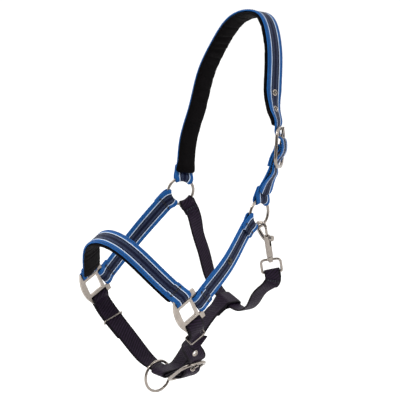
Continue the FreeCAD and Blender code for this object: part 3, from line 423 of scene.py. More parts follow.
def throat_route():
    """From the off ring down under the throat and up to the snap's eye."""
    start = RING_CENTRE[-1] + THROAT_LEAVE * (RING_RADIUS + RING_WIRE / 2 + 1.0)
    across = turned(Y_AXIS, Z_AXIS, -RING_TURN[-1])
    bottom = THROAT_BOTTOM
    end = EYE_BAR - SNAP_UP * (EYE_WIRE / 2 + CLEARANCE + 1.0)
    flat = vec(0, 1, -0.06)
    return Route([(start, across), (start + THROAT_LEAVE * 10 + X_AXIS * 2, across),
                  (vec(-54, -54, -294), flat), (vec(-43, -52, -321), flat), (bottom + vec(-32, -3, 26), flat),
                  (bottom - LOOP_ALONG * 12 + vec(0, 0, 0.8), flat), (bottom, flat),
                      (bottom + LOOP_ALONG * 14, flat),
                  (bottom + vec(31, 0, -6), flat), (vec(52, -47, -373), vec(0.1, 1, 0)),
                  (vec(71, -49, -350), vec(0.35, 0.93, 0)), (end - SNAP_UP * 6, EYE_ACROSS),
                      (end, EYE_ACROSS)])


def outward_of(route, distance, direction):
    return 1 if np.dot(route.frame(distance)[3], direction) > 0 else -1


# Rows of points across a strap

COLUMNS = 15
SHARES = np.linspace(-0.5, 0.5, COLUMNS)


def route_rows(route, start, end, offset=0.0, width=WEBBING_WIDTH, step=4.0):
    count = max(2, int(abs(end - start) / step) + 1)
    rows = []
    for distance in np.linspace(start, end, count):
        point, tangent, across, out = route.frame(distance)
        rows.append(point + out * offset + np.outer(SHARES * width, across))
    return rows


def ring_turn(side, toward, across, out, main, width=WEBBING_WIDTH, count=9):
    """Rows of webbing turned round an upper ring's wire, from the main layer's side to the tail's."""
    centre, axis = RING_CENTRE[side], RING_AXIS[side]
    toward = square_to(toward, axis)
    tangent = np.cross(axis, toward)
    if np.dot(tangent, across) < 0:
        tangent = -tangent
    sign = main * (1 if np.dot(axis, out) > 0 else -1)
    reach = RING_WIRE / 2 + CLEARANCE + WEBBING_THICKNESS / 2
    rows = []
    for share in np.linspace(0, 1, count):
        angle = math.radians(sign * (90 + 180 * share))
        row = []
        for place in SHARES * width:
            sweep = place / RING_RADIUS
            radial = toward * math.cos(sweep) + tangent * math.sin(sweep)
            row.append(centre + radial * (RING_RADIUS + reach * math.cos(angle)) + axis * (reach * math.sin(angle)))
        rows.append(np.array(row))
    return rows


def bar_turn(centre, radius, toward, across, out, main, width=WEBBING_WIDTH, count=9):
    """Rows of webbing turned round a straight bar, from the main layer's side to the tail's."""
    toward = square_to(toward, across)
    out = square_to(square_to(out, across), toward)
    reach = radius + CLEARANCE + WEBBING_THICKNESS / 2
    rows = []
    for share in np.linspace(0, 1, count):
        angle = math.radians(90 + 180 * share)
        middle = centre + toward * (reach * math.cos(angle)) + out * (main * reach * math.sin(angle))
        rows.append(middle + np.outer(SHARES * width, across))
    return rows


def tail_rows(route, at_start, length, side, first=7.0, width=WEBBING_WIDTH):
    """Rows of a folded-back tail, from the turn outwards."""
    if at_start:
        return route_rows(route, first, length, side * LAYER_STEP, width)
    return route_rows(route, route.length - first, route.length - length, side * LAYER_STEP, width)


def smooth_rows(rows, step=1.5):
    """Rows at an even step along a smooth run through the given rows."""
    rows = np.array(rows)
    middles = rows.mean(axis=1)
    knots = np.concatenate([[0.0], np.cumsum(np.linalg.norm(np.diff(middles, axis=0), axis=1))])
    keep = np.concatenate([[True], np.diff(knots) > 1e-6])
    at = spline(knots[keep], rows[keep], ends="straight")
    count = max(3, int(math.ceil(knots[-1] / step)) + 1)
    return at(np.linspace(0, knots[-1], count))


# Mesh making

def make_object(name, verts, faces, uvs=None, sharp=40.0):
    """A smooth-shaded mesh object from points in millimetres."""
    mesh = bpy.data.meshes.new(name)
    mesh.from_pydata((np.asarray(verts) * MM).tolist(), [], faces)
    if uvs is not None:
        layer = mesh.uv_layers.new(name="lay")
        corner = np.array([loop.vertex_index for loop in mesh.loops])
        layer.data.foreach_set("uv", np.asarray(uvs, float)[corner].ravel())
    work = bmesh.new()
    work.from_mesh(mesh)
    bmesh.ops.recalc_face_normals(work, faces=work.faces)
    for face in work.faces:
        face.smooth = True
    limit = math.radians(sharp)
    for edge in work.edges:
        if len(edge.link_faces) == 2 and edge.calc_face_angle(0.0) > limit:
            edge.smooth = False
    work.to_mesh(mesh)
    work.free()
    piece = bpy.data.objects.new(name, mesh)
    bpy.context.scene.collection.objects.link(piece)
    return piece


def ribbon(name, rows, start_corner=1.2, end_corner=1.2, width=WEBBING_WIDTH, step=1.5):
    """A closed band of webbing through rows of points, with soft selvedges and trimmed corners."""
    rows = smooth_rows(rows, step)
    middles = rows.mean(axis=1)
    gone = np.concatenate([[0.0], np.cumsum(np.linalg.norm(np.diff(middles, axis=0), axis=1))])
    along = np.gradient(rows, axis=0)
    across = np.gradient(rows, axis=1)
    normals = np.cross(along, across)
    normals /= np.linalg.norm(normals, axis=2)[:, :, None]
    half = width / 2
    verts, uvs = [], []
    for i, row in enumerate(rows):
        scale = 1.0
        for gap, corner in ((gone[i], start_corner), (gone[-1] - gone[i], end_corner)):
            if gap < corner:
                scale = min(scale, (half - corner + math.sqrt(max(0.0,
                    corner**2 - (corner - gap) ** 2))) / half)
        middle = row[COLUMNS // 2]
        flat = middle + (row - middle) * scale
        slim = WEBBING_THICKNESS / 2 * (1 - 0.22 * np.abs(2 * SHARES) ** 12)
        wave = 0.12 * math.sin(gone[i] * 2 * math.pi / 4.7)
        edge_out = unit(flat[-1] - flat[-2])
        edge_in = unit(flat[0] - flat[1])
        top = flat + normals[i] * slim[:, None]
        low = flat - normals[i] * slim[:, None]
        loop = list(top) + [flat[-1] + edge_out * (0.45 + wave)] + list(low[::-1]) + [flat[0] + edge_in * (0.45 - wave)]
        u = 0.5 + SHARES * scale
        v = gone[i] / WEBBING_WIDTH
        verts += loop
        uvs += [(a, v) for a in u] + [(u[-1] + 0.018, v)] + [(a, v) for a in u[::-1]] + [(u[0] - 0.018, v)]
    size = 2 * COLUMNS + 2
    faces = []
    for i in range(len(rows) - 1):
        for j in range(size):
            k = (j + 1) % size
            faces.append((i * size + j, i * size + k, (i + 1) * size + k, (i + 1) * size + j))
    for base, flip in ((0, False), ((len(rows) - 1) * size, True)):
        for j in range(COLUMNS - 1):
            quad = (base + j, base + j + 1, base + 2 * COLUMNS - 1 - j, base + 2 * COLUMNS - j)
            faces.append(quad[::-1] if flip else quad)
        faces.append((base + COLUMNS - 1, base + COLUMNS, base + COLUMNS + 1))
        faces.append((base, base + 2 * COLUMNS, base + 2 * COLUMNS + 1))
    return make_object(name, verts, faces, uvs, sharp=60.0)


def lofted(name, loops, closed=False, uvs=None, sharp=50.0):
    """A solid through loops of points; closed joins the last loop to the first."""
    loops = np.asarray(loops)
    count, size = loops.shape[:2]
    faces = []
    for i in range(count if closed else count - 1):
        for j in range(size):
            k = (j + 1) % size
            a, b = i * size, ((i + 1) % count) * size
            faces.append((a + j, a + k, b + k, b + j))
    if not closed:
        faces += [tuple(range(size)), tuple(range((count - 1) * size, count * size))]
    return make_object(name, loops.reshape(-1, 3), faces, uvs, sharp)


def oval_section(width, height, power=2.0, count=20):
    """Points round a soft-cornered oval."""
    points = []
    for index in range(count):
        angle = 2 * math.pi * index / count
        c, s = math.cos(angle), math.sin(angle)
        reach = (abs(c) ** power + abs(s) ** power) ** (-1 / power)
        points.append((c * reach * width / 2, s * reach * height / 2))
    return points


def wire_loop(name, path, normal, section):
    """A closed loop of wire in one plane."""
    path = np.asarray(path)
    loops = []
    for index, point in enumerate(path):
        tangent = unit(path[(index + 1) % len(path)] - path[index - 1])
        side = np.cross(tangent, normal)
        loops.append([point + side * a + normal * b for a, b in section])
    return lofted(name, loops, closed=True)


def rounded_path(centre, along, across, length, width, corner, per_corner=10, per_side=8):
    """Points round a rectangle with round corners."""
    points = []
    a, b = length / 2 - corner, width / 2 - corner
    middles = [(a, b), (-a, b), (-a, -b), (a, -b)]
    for index, (u, v) in enumerate(middles):
        for step in range(per_corner + 1):
            angle = math.radians(90 * index + 90 * step / per_corner)
            points.append((u + corner * math.cos(angle), v + corner * math.sin(angle)))
        nu, nv = middles[(index + 1) % 4]
        end_angle = math.radians(90 * (index + 1))
        start = (u + corner * math.cos(end_angle), v + corner * math.sin(end_angle))
        stop = (nu + corner * math.cos(end_angle), nv + corner * math.sin(end_angle))
        for step in range(1, per_side):
            share = step / per_side
            points.append((start[0] + (stop[0] - start[0]) * share, start[1] + (stop[1] - start[1]) * share))
    return [centre + along * u + across * v for u, v in points]


def lathed(name, base, axis, profile, count=40, sharp=40.0):
    """A closed solid turned round an axis; the profile is a closed loop of (radius, height)."""
    axis = unit(axis)
    side = square_to(X_AXIS if abs(axis[0]) < 0.9 else Y_AXIS, axis)
    other = np.cross(axis, side)
    loops = []
    for index in range(count):
        angle = 2 * math.pi * index / count
        radial = side * math.cos(angle) + other * math.sin(angle)
        loops.append([base + radial * radius + axis * height for radius, height in profile])
    return lofted(name, loops, closed=True, sharp=sharp)


def join(name, parts):
    """One object from several."""
    work = bmesh.new()
    for part in parts:
        work.from_mesh(part.data)
        bpy.data.objects.remove(part)
    mesh = bpy.data.meshes.new(name)
    work.to_mesh(mesh)
    work.free()
    piece = bpy.data.objects.new(name, mesh)
    bpy.context.scene.collection.objects.link(piece)
    return piece


def cast_from(name, node, voxel=0.30, rounds=6):
    """A casting with its sharp edges softened, from a frame node's shape."""
    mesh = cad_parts[node].data.copy()
    mesh.name = name
    mesh.materials.clear()
    piece = bpy.data.objects.new(name, mesh)
    bpy.context.scene.collection.objects.link(piece)
    remesh = piece.modifiers.new("remesh", "REMESH")
    remesh.mode = "VOXEL"
    remesh.voxel_size = voxel * MM
    soften = piece.modifiers.new("soften", "SMOOTH")
    soften.factor = 0.5
    soften.iterations = rounds
    apply_modifiers(piece)
    for face in piece.data.polygons:
        face.use_smooth = True
    return piece


def apply_modifiers(piece):
    bpy.context.view_layer.update()
    depsgraph = bpy.context.evaluated_depsgraph_get()
    mesh = bpy.data.meshes.new_from_object(piece.evaluated_get(depsgraph))
    piece.modifiers.clear()
    piece.data = mesh


def cut_away(piece, tools):
    """Cuts tool objects out of a piece and removes them."""
    for tool in tools:
        cutter = piece.modifiers.new("cut", "BOOLEAN")
        cutter.operation = "DIFFERENCE"
        cutter.solver = "EXACT"
        cutter.object = tool
    apply_modifiers(piece)
    for tool in tools:
        bpy.data.objects.remove(tool)


def block(centre, along, across, out, size):
    """A box-shaped cutter."""
    corners = []
    for a in (-0.5, 0.5):
        for b in (-0.5, 0.5):
            for c in (-0.5, 0.5):
                corners.append(centre + along * (a * size[0]) + across * (b * size[1]) + out * (c * size[2]))
    faces = [(0, 1, 3, 2), (4, 6, 7, 5), (0, 4, 5, 1), (2, 3, 7, 6), (0, 2, 6, 4), (1, 5, 7, 3)]
    return make_object("cutter", corners, faces)


def peg(centre, out, radius, reach):
    """A round cutter."""
    side = square_to(X_AXIS if abs(out[0]) < 0.9 else Y_AXIS, out)
    other = np.cross(out, side)
    loops = []
    for height in (-reach, reach):
        loops.append([centre + out * height + (side * math.cos(a) + other * math.sin(a)) * radius
                      for a in np.linspace(0, 2 * math.pi, 28, endpoint=False)])
    return lofted("cutter", loops)


def dress(piece, material, body, nodes=()):
    """Gives a piece its material and its body, and hides the frame nodes it stands for."""
    piece.data.materials.clear()
    piece.data.materials.append(material)
    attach(piece, body)
    if nodes:
        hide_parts(*nodes)
    return piece


# Stitches

def stitch_line(points, normals, pitch, diameter):
    """Short raised stitches along a line on a surface."""
    points = np.asarray(points, float)
    normals = np.asarray(normals, float)
    gone = np.concatenate([[0.0], np.cumsum(np.linalg.norm(np.diff(points, axis=0), axis=1))])
    count = max(1, int(round(gone[-1] / pitch)))
    gap = gone[-1] / count
    verts, faces = [], []
    for index in range(count):
        middle = gap * (index + 0.5)
        ends = [middle - gap * 0.36, middle, middle + gap * 0.36]
        spots = [np.array([np.interp(d, gone, points[:, c]) for c in range(3)]) for d in ends]
        normal = unit([np.interp(middle, gone, normals[:, c]) for c in range(3)])
        tangent = unit(spots[2] - spots[0])
        side = np.cross(tangent, normal)
        rings = []
        for spot, size, lift in ((spots[0], 0.45, -0.30), (spots[0] + tangent * gap * 0.12, 0.95, 0.10),
                                 (spots[1], 1.0, 0.22), (spots[2] - tangent * gap * 0.12, 0.95, 0.10),
                                     (spots[2], 0.45, -0.30)):
            radius = diameter / 2 * size
            rings.append([spot + normal * (lift * diameter) + (side * math.cos(a) + normal * math.sin(a)) * radius
                          for a in np.linspace(0, 2 * math.pi, 7, endpoint=False)])
        base = len(verts)
        for ring in rings:
            verts += ring
        for i in range(4):
            for j in range(7):
                k = (j + 1) % 7
                faces.append((base + i * 7 + j, base + i * 7 + k, base + (i + 1) * 7 + k,
                    base + (i + 1) * 7 + j))
        faces.append(tuple(base + j for j in range(7)))
        faces.append(tuple(base + 28 + j for j in range(7)))
    return verts, faces


def sew(name, lines, material, body="halter"):
    """One object of all the stitches along several lines of (points, normals)."""
    pitch = setting("halter_sizes", "stitch_pitch") / MM
    diameter = setting("halter_sizes", "thread_diameter") / MM
    verts, faces = [], []
    for points, normals in lines:
        more, sides = stitch_line(points, normals, pitch, diameter)
        faces += [tuple(index + len(verts) for index in side) for side in sides]
        verts += more
    piece = make_object(name, verts, faces, sharp=80.0)
    return dress(piece, material, body)


def strap_line(route, start, end, across, face, layer=0.0, step=2.0):
    """A sewing line along a strap; face is +1 for its outer side and layer its middle's offset."""
    lift = layer + face * WEBBING_THICKNESS / 2
    places = np.linspace(start, end, max(2, int(abs(end - start) / step) + 1))
    points = [route.spot(distance, across, lift) for distance in places]
    normals = [route.frame(distance)[3] * face for distance in places]
    return points, normals


def strap_cross(route, distance, low, high, face, layer=0.0, slant=0.0):
    """A sewing line across a strap; slant runs it along the strap as well."""
    lift = layer + face * WEBBING_THICKNESS / 2
    points, normals = [], []
    for share in np.linspace(0, 1, 7):
        place = distance + slant * share
        points.append(route.spot(place, low + (high - low) * share, lift))
        normals.append(route.frame(place)[3] * face)
    return points, normals


def fold_stitch(route, at_start, tail_side, half=10.2):
    """Sewing through both layers of a folded end: a heavy double row at its neck and one at its tail."""
    sign = 1 if at_start else -1
    end = 0.0 if at_start else route.length
    lines = []
    for face, layer in ((-tail_side, 0.0), (tail_side, tail_side * LAYER_STEP)):
        for distance in (6.6, 7.2, 7.8, 8.4, 9.0, 13.4):
            lines.append(strap_cross(route, end + sign * distance, -half, half, face, layer + face * 0.25))
        for across in (-half, half):
            lines.append(strap_line(route, end + sign * 7.0, end + sign * 13.4, across, face, layer))
    return lines


# Materials

class Tree:
    """Shorthand for wiring up a node tree."""

    def __init__(self, tree):
        self.tree = tree
        self.count = 0

    def node(self, kind, **settings):
        node = self.tree.nodes.new(kind)
        node.location = (220 * (self.count % 9), -260 * (self.count // 9))
        self.count += 1
        for name, value in settings.items():
            setattr(node, name, value)
        return node

    def link(self, source, target):
        self.tree.links.new(source, target)

    def math(self, operation, *values, clamp=False):
        node = self.node("ShaderNodeMath", operation=operation, use_clamp=clamp)
        for socket, value in zip(node.inputs, values):
            if isinstance(value, (int, float)):
                socket.default_value = value
            else:
                self.link(value, socket)
        return node.outputs[0]

    def noise(self, coordinates, scale, detail=3.0, roughness=0.5):
        node = self.node("ShaderNodeTexNoise")
        node.inputs["Scale"].default_value = scale
        node.inputs["Detail"].default_value = detail
        node.inputs["Roughness"].default_value = roughness
        self.link(coordinates, node.inputs["Vector"])
        return node.outputs["Fac"]

    def spread(self, value, low, high, from_low=0.0, from_high=1.0):
        node = self.node("ShaderNodeMapRange")
        for name, number in (("From Min", from_low), ("From Max", from_high), ("To Min", low),
                ("To Max", high)):
            node.inputs[name].default_value = number
        self.link(value, node.inputs["Value"])
        return node.outputs["Result"]

    def mix(self, share, first, second):
        node = self.node("ShaderNodeMix", data_type="RGBA")
        for socket, value in ((node.inputs[0], share), (node.inputs[6], first), (node.inputs[7], second)):
            if isinstance(value, (int, float)):
                socket.default_value = value
            elif isinstance(value, tuple):
                socket.default_value = value
            else:
                self.link(value, socket)
        return node.outputs[2]


def new_group(name, inputs, outputs):
    """A node group with named float or vector inputs and outputs."""
    tree = bpy.data.node_groups.new(name, "ShaderNodeTree")
    for label, kind, default in inputs:
        socket = tree.interface.new_socket(name=label, in_out="INPUT", socket_type=kind)
        if default is not None:
            socket.default_value = default
    for label, kind in outputs:
        tree.interface.new_socket(name=label, in_out="OUTPUT", socket_type=kind)
    make = Tree(tree)
    entry = make.node("NodeGroupInput")
    leave = make.node("NodeGroupOutput")
    return tree, make, entry, leave


def weave_group():
    """Warp ribs along the webbing crossed by picks of weft, from a lay of (width share, length in widths)."""
    if "Woven webbing" in bpy.data.node_groups:
        return bpy.data.node_groups["Woven webbing"]
    tree, make, entry, leave = new_group(
        "Woven webbing",
        [("Lay", "NodeSocketVector", None), ("Warps", "NodeSocketFloat", 32.0),
            ("Picks", "NodeSocketFloat", 20.0),
         ("Step", "NodeSocketFloat", 0.5), ("Fuzz", "NodeSocketFloat", 0.3)],
        [("Height", "NodeSocketFloat"), ("Shade", "NodeSocketFloat"), ("Fleck", "NodeSocketFloat")])
    split = make.node("ShaderNodeSeparateXYZ")
    make.link(entry.outputs["Lay"], split.inputs[0])
    x = make.math("MULTIPLY", split.outputs["X"], entry.outputs["Warps"])
    y = make.math("MULTIPLY", split.outputs["Y"], entry.outputs["Picks"])
    column = make.math("FLOOR", x)
    rib = make.math("SINE", make.math("MULTIPLY", make.math("FRACT", x), math.pi))
    shifted = make.math("ADD", y, make.math("MULTIPLY", column, entry.outputs["Step"]))
    pick = make.math("MULTIPLY_ADD", make.math("SINE", make.math("MULTIPLY", shifted, 2 * math.pi)), 0.5, 0.5)
    woven = make.math("MULTIPLY", rib, make.math("MULTIPLY_ADD", pick, 0.6, 0.4))
    stretched = make.node("ShaderNodeVectorMath", operation="MULTIPLY")
    stretched.inputs[1].default_value = (60.0, 25.0, 1.0)
    make.link(entry.outputs["Lay"], stretched.inputs[0])
    fuzz = make.noise(stretched.outputs[0], 3.0, 4.0, 0.65)
    broad = make.noise(entry.outputs["Lay"], 2.3, 2.0, 0.5)
    rough = make.math("MULTIPLY", make.math("SUBTRACT", fuzz, 0.5), entry.outputs["Fuzz"])
    make.link(make.math("ADD", woven, rough), leave.inputs["Height"])
    shade = make.math("ADD", make.math("MULTIPLY_ADD", woven, 0.45, 0.62),
        make.math("MULTIPLY_ADD", broad, 0.22, -0.11))
    make.link(make.math("ADD", shade, rough), leave.inputs["Shade"])
    make.link(make.math("GREATER_THAN", make.math("ADD", pick, rough), 0.62), leave.inputs["Fleck"])
    return tree


def wear_group():
    """Slow and fine changes of polish and tone over plated metal."""
    if "Plating wear" in bpy.data.node_groups:
        return bpy.data.node_groups["Plating wear"]
    tree, make, entry, leave = new_group(
        "Plating wear",
        [("Scale", "NodeSocketFloat", 1.0), ("Low", "NodeSocketFloat", 0.2),
            ("High", "NodeSocketFloat", 0.4)],
        [("Polish", "NodeSocketFloat"), ("Tone", "NodeSocketFloat"), ("Grain", "NodeSocketFloat")])
    place = make.node("ShaderNodeTexCoord")
    scaled = make.node("ShaderNodeVectorMath", operation="SCALE")
    make.link(place.outputs["Object"], scaled.inputs[0])
    make.link(entry.outputs["Scale"], scaled.inputs["Scale"])
    slow = make.noise(scaled.outputs[0], 90.0, 3.0, 0.55)
    fine = make.noise(scaled.outputs[0], 1400.0, 2.0, 0.5)
    share = make.math("MULTIPLY_ADD", fine, 0.35, make.math("MULTIPLY", slow, 0.65))
    node = make.node("ShaderNodeMapRange")
    node.inputs["From Min"].default_value = 0.3
    node.inputs["From Max"].default_value = 0.7
    make.link(share, node.inputs["Value"])
    make.link(entry.outputs["Low"], node.inputs["To Min"])
    make.link(entry.outputs["High"], node.inputs["To Max"])
    make.link(node.outputs["Result"], leave.inputs["Polish"])
    make.link(make.spread(slow, 0.82, 1.1, 0.3, 0.7), leave.inputs["Tone"])
    make.link(fine, leave.inputs["Grain"])
    return tree


def new_material(name):
    material = bpy.data.materials.new(name)
    material.use_nodes = True
    make = Tree(material.node_tree)
    shader = material.node_tree.nodes["Principled BSDF"]
    shader.location = (1900, 0)
    material.node_tree.nodes["Material Output"].location = (2200, 0)
    return material, make, shader


def add_bump(make, shader, height, strength, distance):
    bump = make.node("ShaderNodeBump")
    bump.inputs["Strength"].default_value = strength
    bump.inputs["Distance"].default_value = distance
    make.link(height, bump.inputs["Height"])
    make.link(bump.outputs["Normal"], shader.inputs["Normal"])


def tinted(make, colour, shade):
    """A colour made lighter and darker by a shade about one."""
    node = make.node("ShaderNodeVectorMath", operation="SCALE")
    if isinstance(colour, tuple):
        node.inputs[0].default_value = colour[:3]
    else:
        make.link(colour, node.inputs[0])
    make.link(shade, node.inputs["Scale"])
    return node.outputs[0]


def use_weave(make, warps, picks, step, fuzz):
    lay = make.node("ShaderNodeUVMap", uv_map="lay")
    weave = make.node("ShaderNodeGroup", node_tree=weave_group())
    for name, value in (("Warps", warps), ("Picks", picks), ("Step", step), ("Fuzz", fuzz)):
        weave.inputs[name].default_value = value
    make.link(lay.outputs["UV"], weave.inputs["Lay"])
    return lay, weave


def colour(name):
    return tuple(setting("halter_colours", name))


def striped_webbing():
    """Flat webbing with blue edges, white lines, grey bands and a navy middle."""
    if "woven_stripes" in bpy.data.materials:
        return bpy.data.materials["woven_stripes"]
    material, make, shader = new_material("woven_stripes")
    lay, weave = use_weave(make, 34.0, 17.0, 0.5, 0.35)
    split = make.node("ShaderNodeSeparateXYZ")
    make.link(lay.outputs["UV"], split.inputs[0])
    drift = make.math("MULTIPLY", make.math("SUBTRACT", weave.outputs["Height"], 0.5), 0.02)
    off_middle = make.math("ABSOLUTE", make.math("SUBTRACT", split.outputs["X"], 0.5))
    out = make.math("ADD", make.math("MULTIPLY", off_middle, 2.0), drift)
    band = make.mix(weave.outputs["Fleck"], colour("middle_navy"), colour("band_grey"))
    inside = make.math("MULTIPLY", make.math("GREATER_THAN", out, 0.15), make.math("LESS_THAN", out, 0.38))
    tint = make.mix(inside, colour("middle_navy"), band)
    tint = make.mix(make.math("GREATER_THAN", out, 0.505), tint, colour("line_white"))
    tint = make.mix(make.math("GREATER_THAN", out, 0.60), tint, colour("edge_blue"))
    make.link(tinted(make, tint, weave.outputs["Shade"]), shader.inputs["Base Color"])
    make.link(make.spread(weave.outputs["Shade"], 0.72, 0.52), shader.inputs["Roughness"])
    shader.inputs["Specular IOR Level"].default_value = 0.10
    shader.inputs["Sheen Weight"].default_value = 0.0
    shader.inputs["Sheen Roughness"].default_value = 0.4
    add_bump(make, shader, weave.outputs["Height"], 0.6, 0.0003)
    return material


def dark_webbing():
    """Plain near-black webbing with a bolder slanting rib."""
    if "woven_dark" in bpy.data.materials:
        return bpy.data.materials["woven_dark"]
    material, make, shader = new_material("woven_dark")
    lay, weave = use_weave(make, 22.0, 15.0, 0.25, 0.3)
    split = make.node("ShaderNodeSeparateXYZ")
    make.link(lay.outputs["UV"], split.inputs[0])
    off_middle = make.math("MULTIPLY",
        make.math("ABSOLUTE", make.math("SUBTRACT", split.outputs["X"], 0.5)), 2.0)
    inside = make.math("LESS_THAN", off_middle, 0.84)
    slant = make.math("MULTIPLY_ADD", split.outputs["X"], 3.2, make.math("MULTIPLY", split.outputs["Y"], 6.6))
    rib = make.math("MULTIPLY_ADD", make.math("SINE", make.math("MULTIPLY", slant, 2 * math.pi)), 0.5, 0.5)
    pale = tuple(min(1.0, c * 7.0) for c in colour("webbing_black")[:3]) + (1.0,)
    share = make.math("MULTIPLY", make.math("MULTIPLY", rib, inside),
        make.spread(weave.outputs["Shade"], 0.2, 1.0, 0.5, 1.1))
    tint = make.mix(share, colour("webbing_black"), pale)
    make.link(tinted(make, tint, weave.outputs["Shade"]), shader.inputs["Base Color"])
    make.link(make.spread(weave.outputs["Shade"], 0.70, 0.48), shader.inputs["Roughness"])
    shader.inputs["Specular IOR Level"].default_value = 0.10
    shader.inputs["Sheen Weight"].default_value = 0.0
    shader.inputs["Sheen Roughness"].default_value = 0.45
    add_bump(make, shader, weave.outputs["Height"], 0.8, 0.0004)
    return material


def plush():
    """Brushed black cloth over foam."""
    if "plush" in bpy.data.materials:
        return bpy.data.materials["plush"]
    material, make, shader = new_material("plush")
    place = make.node("ShaderNodeTexCoord")
    pile = make.noise(place.outputs["Object"], 1900.0, 4.0, 0.7)
    brushed = make.noise(place.outputs["Object"], 70.0, 4.0, 0.6)
    shade = make.math("ADD", make.spread(brushed, 0.55, 1.5, 0.3, 0.7),
        make.math("MULTIPLY_ADD", pile, 1.2, -0.6))
    make.link(tinted(make, colour("padding_black"), shade), shader.inputs["Base Color"])
    make.link(make.spread(pile, 0.82, 0.98), shader.inputs["Roughness"])
    shader.inputs["Specular IOR Level"].default_value = 0.06
    shader.inputs["Sheen Weight"].default_value = 0.01
    shader.inputs["Sheen Roughness"].default_value = 0.6
    height = make.math("ADD", make.math("MULTIPLY", pile, 0.5), brushed)
    add_bump(make, shader, height, 0.5, 0.0006)
    return material


def plated(name, tone=1.0, low=0.20, high=0.36, grain=0.12):
    """Nickel plate; tone lightens it and low and high set its polish."""
    if name in bpy.data.materials:
        return bpy.data.materials[name]
    material, make, shader = new_material(name)
    wear = make.node("ShaderNodeGroup", node_tree=wear_group())
    wear.inputs["Low"].default_value = low
    wear.inputs["High"].default_value = high
    base = tuple(min(1.0, c * tone) for c in colour("nickel")[:3]) + (1.0,)
    make.link(tinted(make, base, wear.outputs["Tone"]), shader.inputs["Base Color"])
    make.link(wear.outputs["Polish"], shader.inputs["Roughness"])
    shader.inputs["Metallic"].default_value = 1.0
    add_bump(make, shader, wear.outputs["Grain"], grain, 0.00005)
    return material


def thread():
    """Twisted sewing thread."""
    return thread_of("thread", colour("thread"))


def thread_of(name, tint):
    if name in bpy.data.materials:
        return bpy.data.materials[name]
    material, make, shader = new_material(name)
    place = make.node("ShaderNodeTexCoord")
    twist = make.noise(place.outputs["Object"], 2600.0, 2.0, 0.5)
    make.link(tinted(make, tint, make.spread(twist, 0.7, 1.35, 0.3, 0.7)), shader.inputs["Base Color"])
    make.link(make.spread(twist, 0.5, 0.7), shader.inputs["Roughness"])
    add_bump(make, shader, twist, 0.3, 0.0002)
    return material


# Pieces

def folded_strap(name, route, start_turn=None, end_turn=None, start_tail=0.0, end_tail=0.0, start_side=-1,
                 end_side=-1, corners=(1.2, 1.2), extra_start=None, width=WEBBING_WIDTH):
    """A strap turned back at either end: tail, turn, main run, turn and tail as one band."""
    rows = []
    meet = 6.0
    if start_turn:
        if extra_start is not None:
            rows += extra_start[::-1]
        else:
            rows += tail_rows(route, True, start_tail, start_side, meet, width)[::-1]
        frame_here = route.frame(2.0)
        rows += start_turn(frame_here[2], frame_here[3], -start_side, width)[::-1]
    first = meet if start_turn else 0.0
    last = route.length - meet if end_turn else route.length
    rows += route_rows(route, first, last, 0.0, width)
    if end_turn:
        frame_here = route.frame(route.length - 2.0)
        rows += end_turn(frame_here[2], frame_here[3], -end_side, width)
        rows += tail_rows(route, False, end_tail, end_side, meet, width)
    return ribbon(name, rows, corners[0], corners[1], width)


def on_ring(side, toward):
    return lambda across, out, main, width: ring_turn(side, toward, across, out, main, width)


def on_bar(centre, radius, toward):
    return lambda across, out, main, width: bar_turn(centre, radius, toward, across, out, main, width)


CROWN = crown_route()
CROWN_USED_HOLE = CROWN.distance_to(
    buckle_point(BUCKLE_CENTRE, BUCKLE_UP, BUCKLE_OUT, HOLE_FROM_BAR, TONGUE_AT_HOLE - 0.4))
CROWN_HOLES = [CROWN_USED_HOLE - 3 * EYELET_PITCH, CROWN_USED_HOLE - 2 * EYELET_PITCH, CROWN_USED_HOLE]
CHIN_NEAR = chin_near_route()
CHIN_USED_HOLE = CHIN_NEAR.distance_to(
    buckle_point(CHIN_BUCKLE, CHIN_UP, CHIN_OUT, HOLE_FROM_BAR, TONGUE_AT_HOLE - 0.4))
CHIN_HOLES = [CHIN_USED_HOLE - EYELET_PITCH * 1.6, CHIN_USED_HOLE]


class HALTER_OT_crown_strap(bpy.types.Operator):
    """Builds the striped strap over the poll, with its eyelet holes and rounded tip"""
    bl_idname = "halter.crown_strap"
    bl_label = "Crown strap"

    def execute(self, context):
        strap = folded_strap("crown_webbing", CROWN, start_turn=on_ring(-1, CROWN_TILT),
            start_tail=FOLD_LENGTH,
                             start_side=1, corners=(1.2, 8.0))
        cuts = [peg(CROWN.spot(hole), CROWN.frame(hole)[3], EYELET_BORE / 2 + 0.3,
            6.0) for hole in CROWN_HOLES]
        cut_away(strap, cuts)
        dress(strap, striped_webbing(), "halter", ["crown_strap"])
        lines = fold_stitch(CROWN, True, 1)
        for across in (-10.8, 10.8):
            lines.append(strap_line(CROWN, 20.0, CROWN_USED_HOLE - 18.0, across, 1))
        sew("crown_stitches", lines, thread())
        return {"FINISHED"}


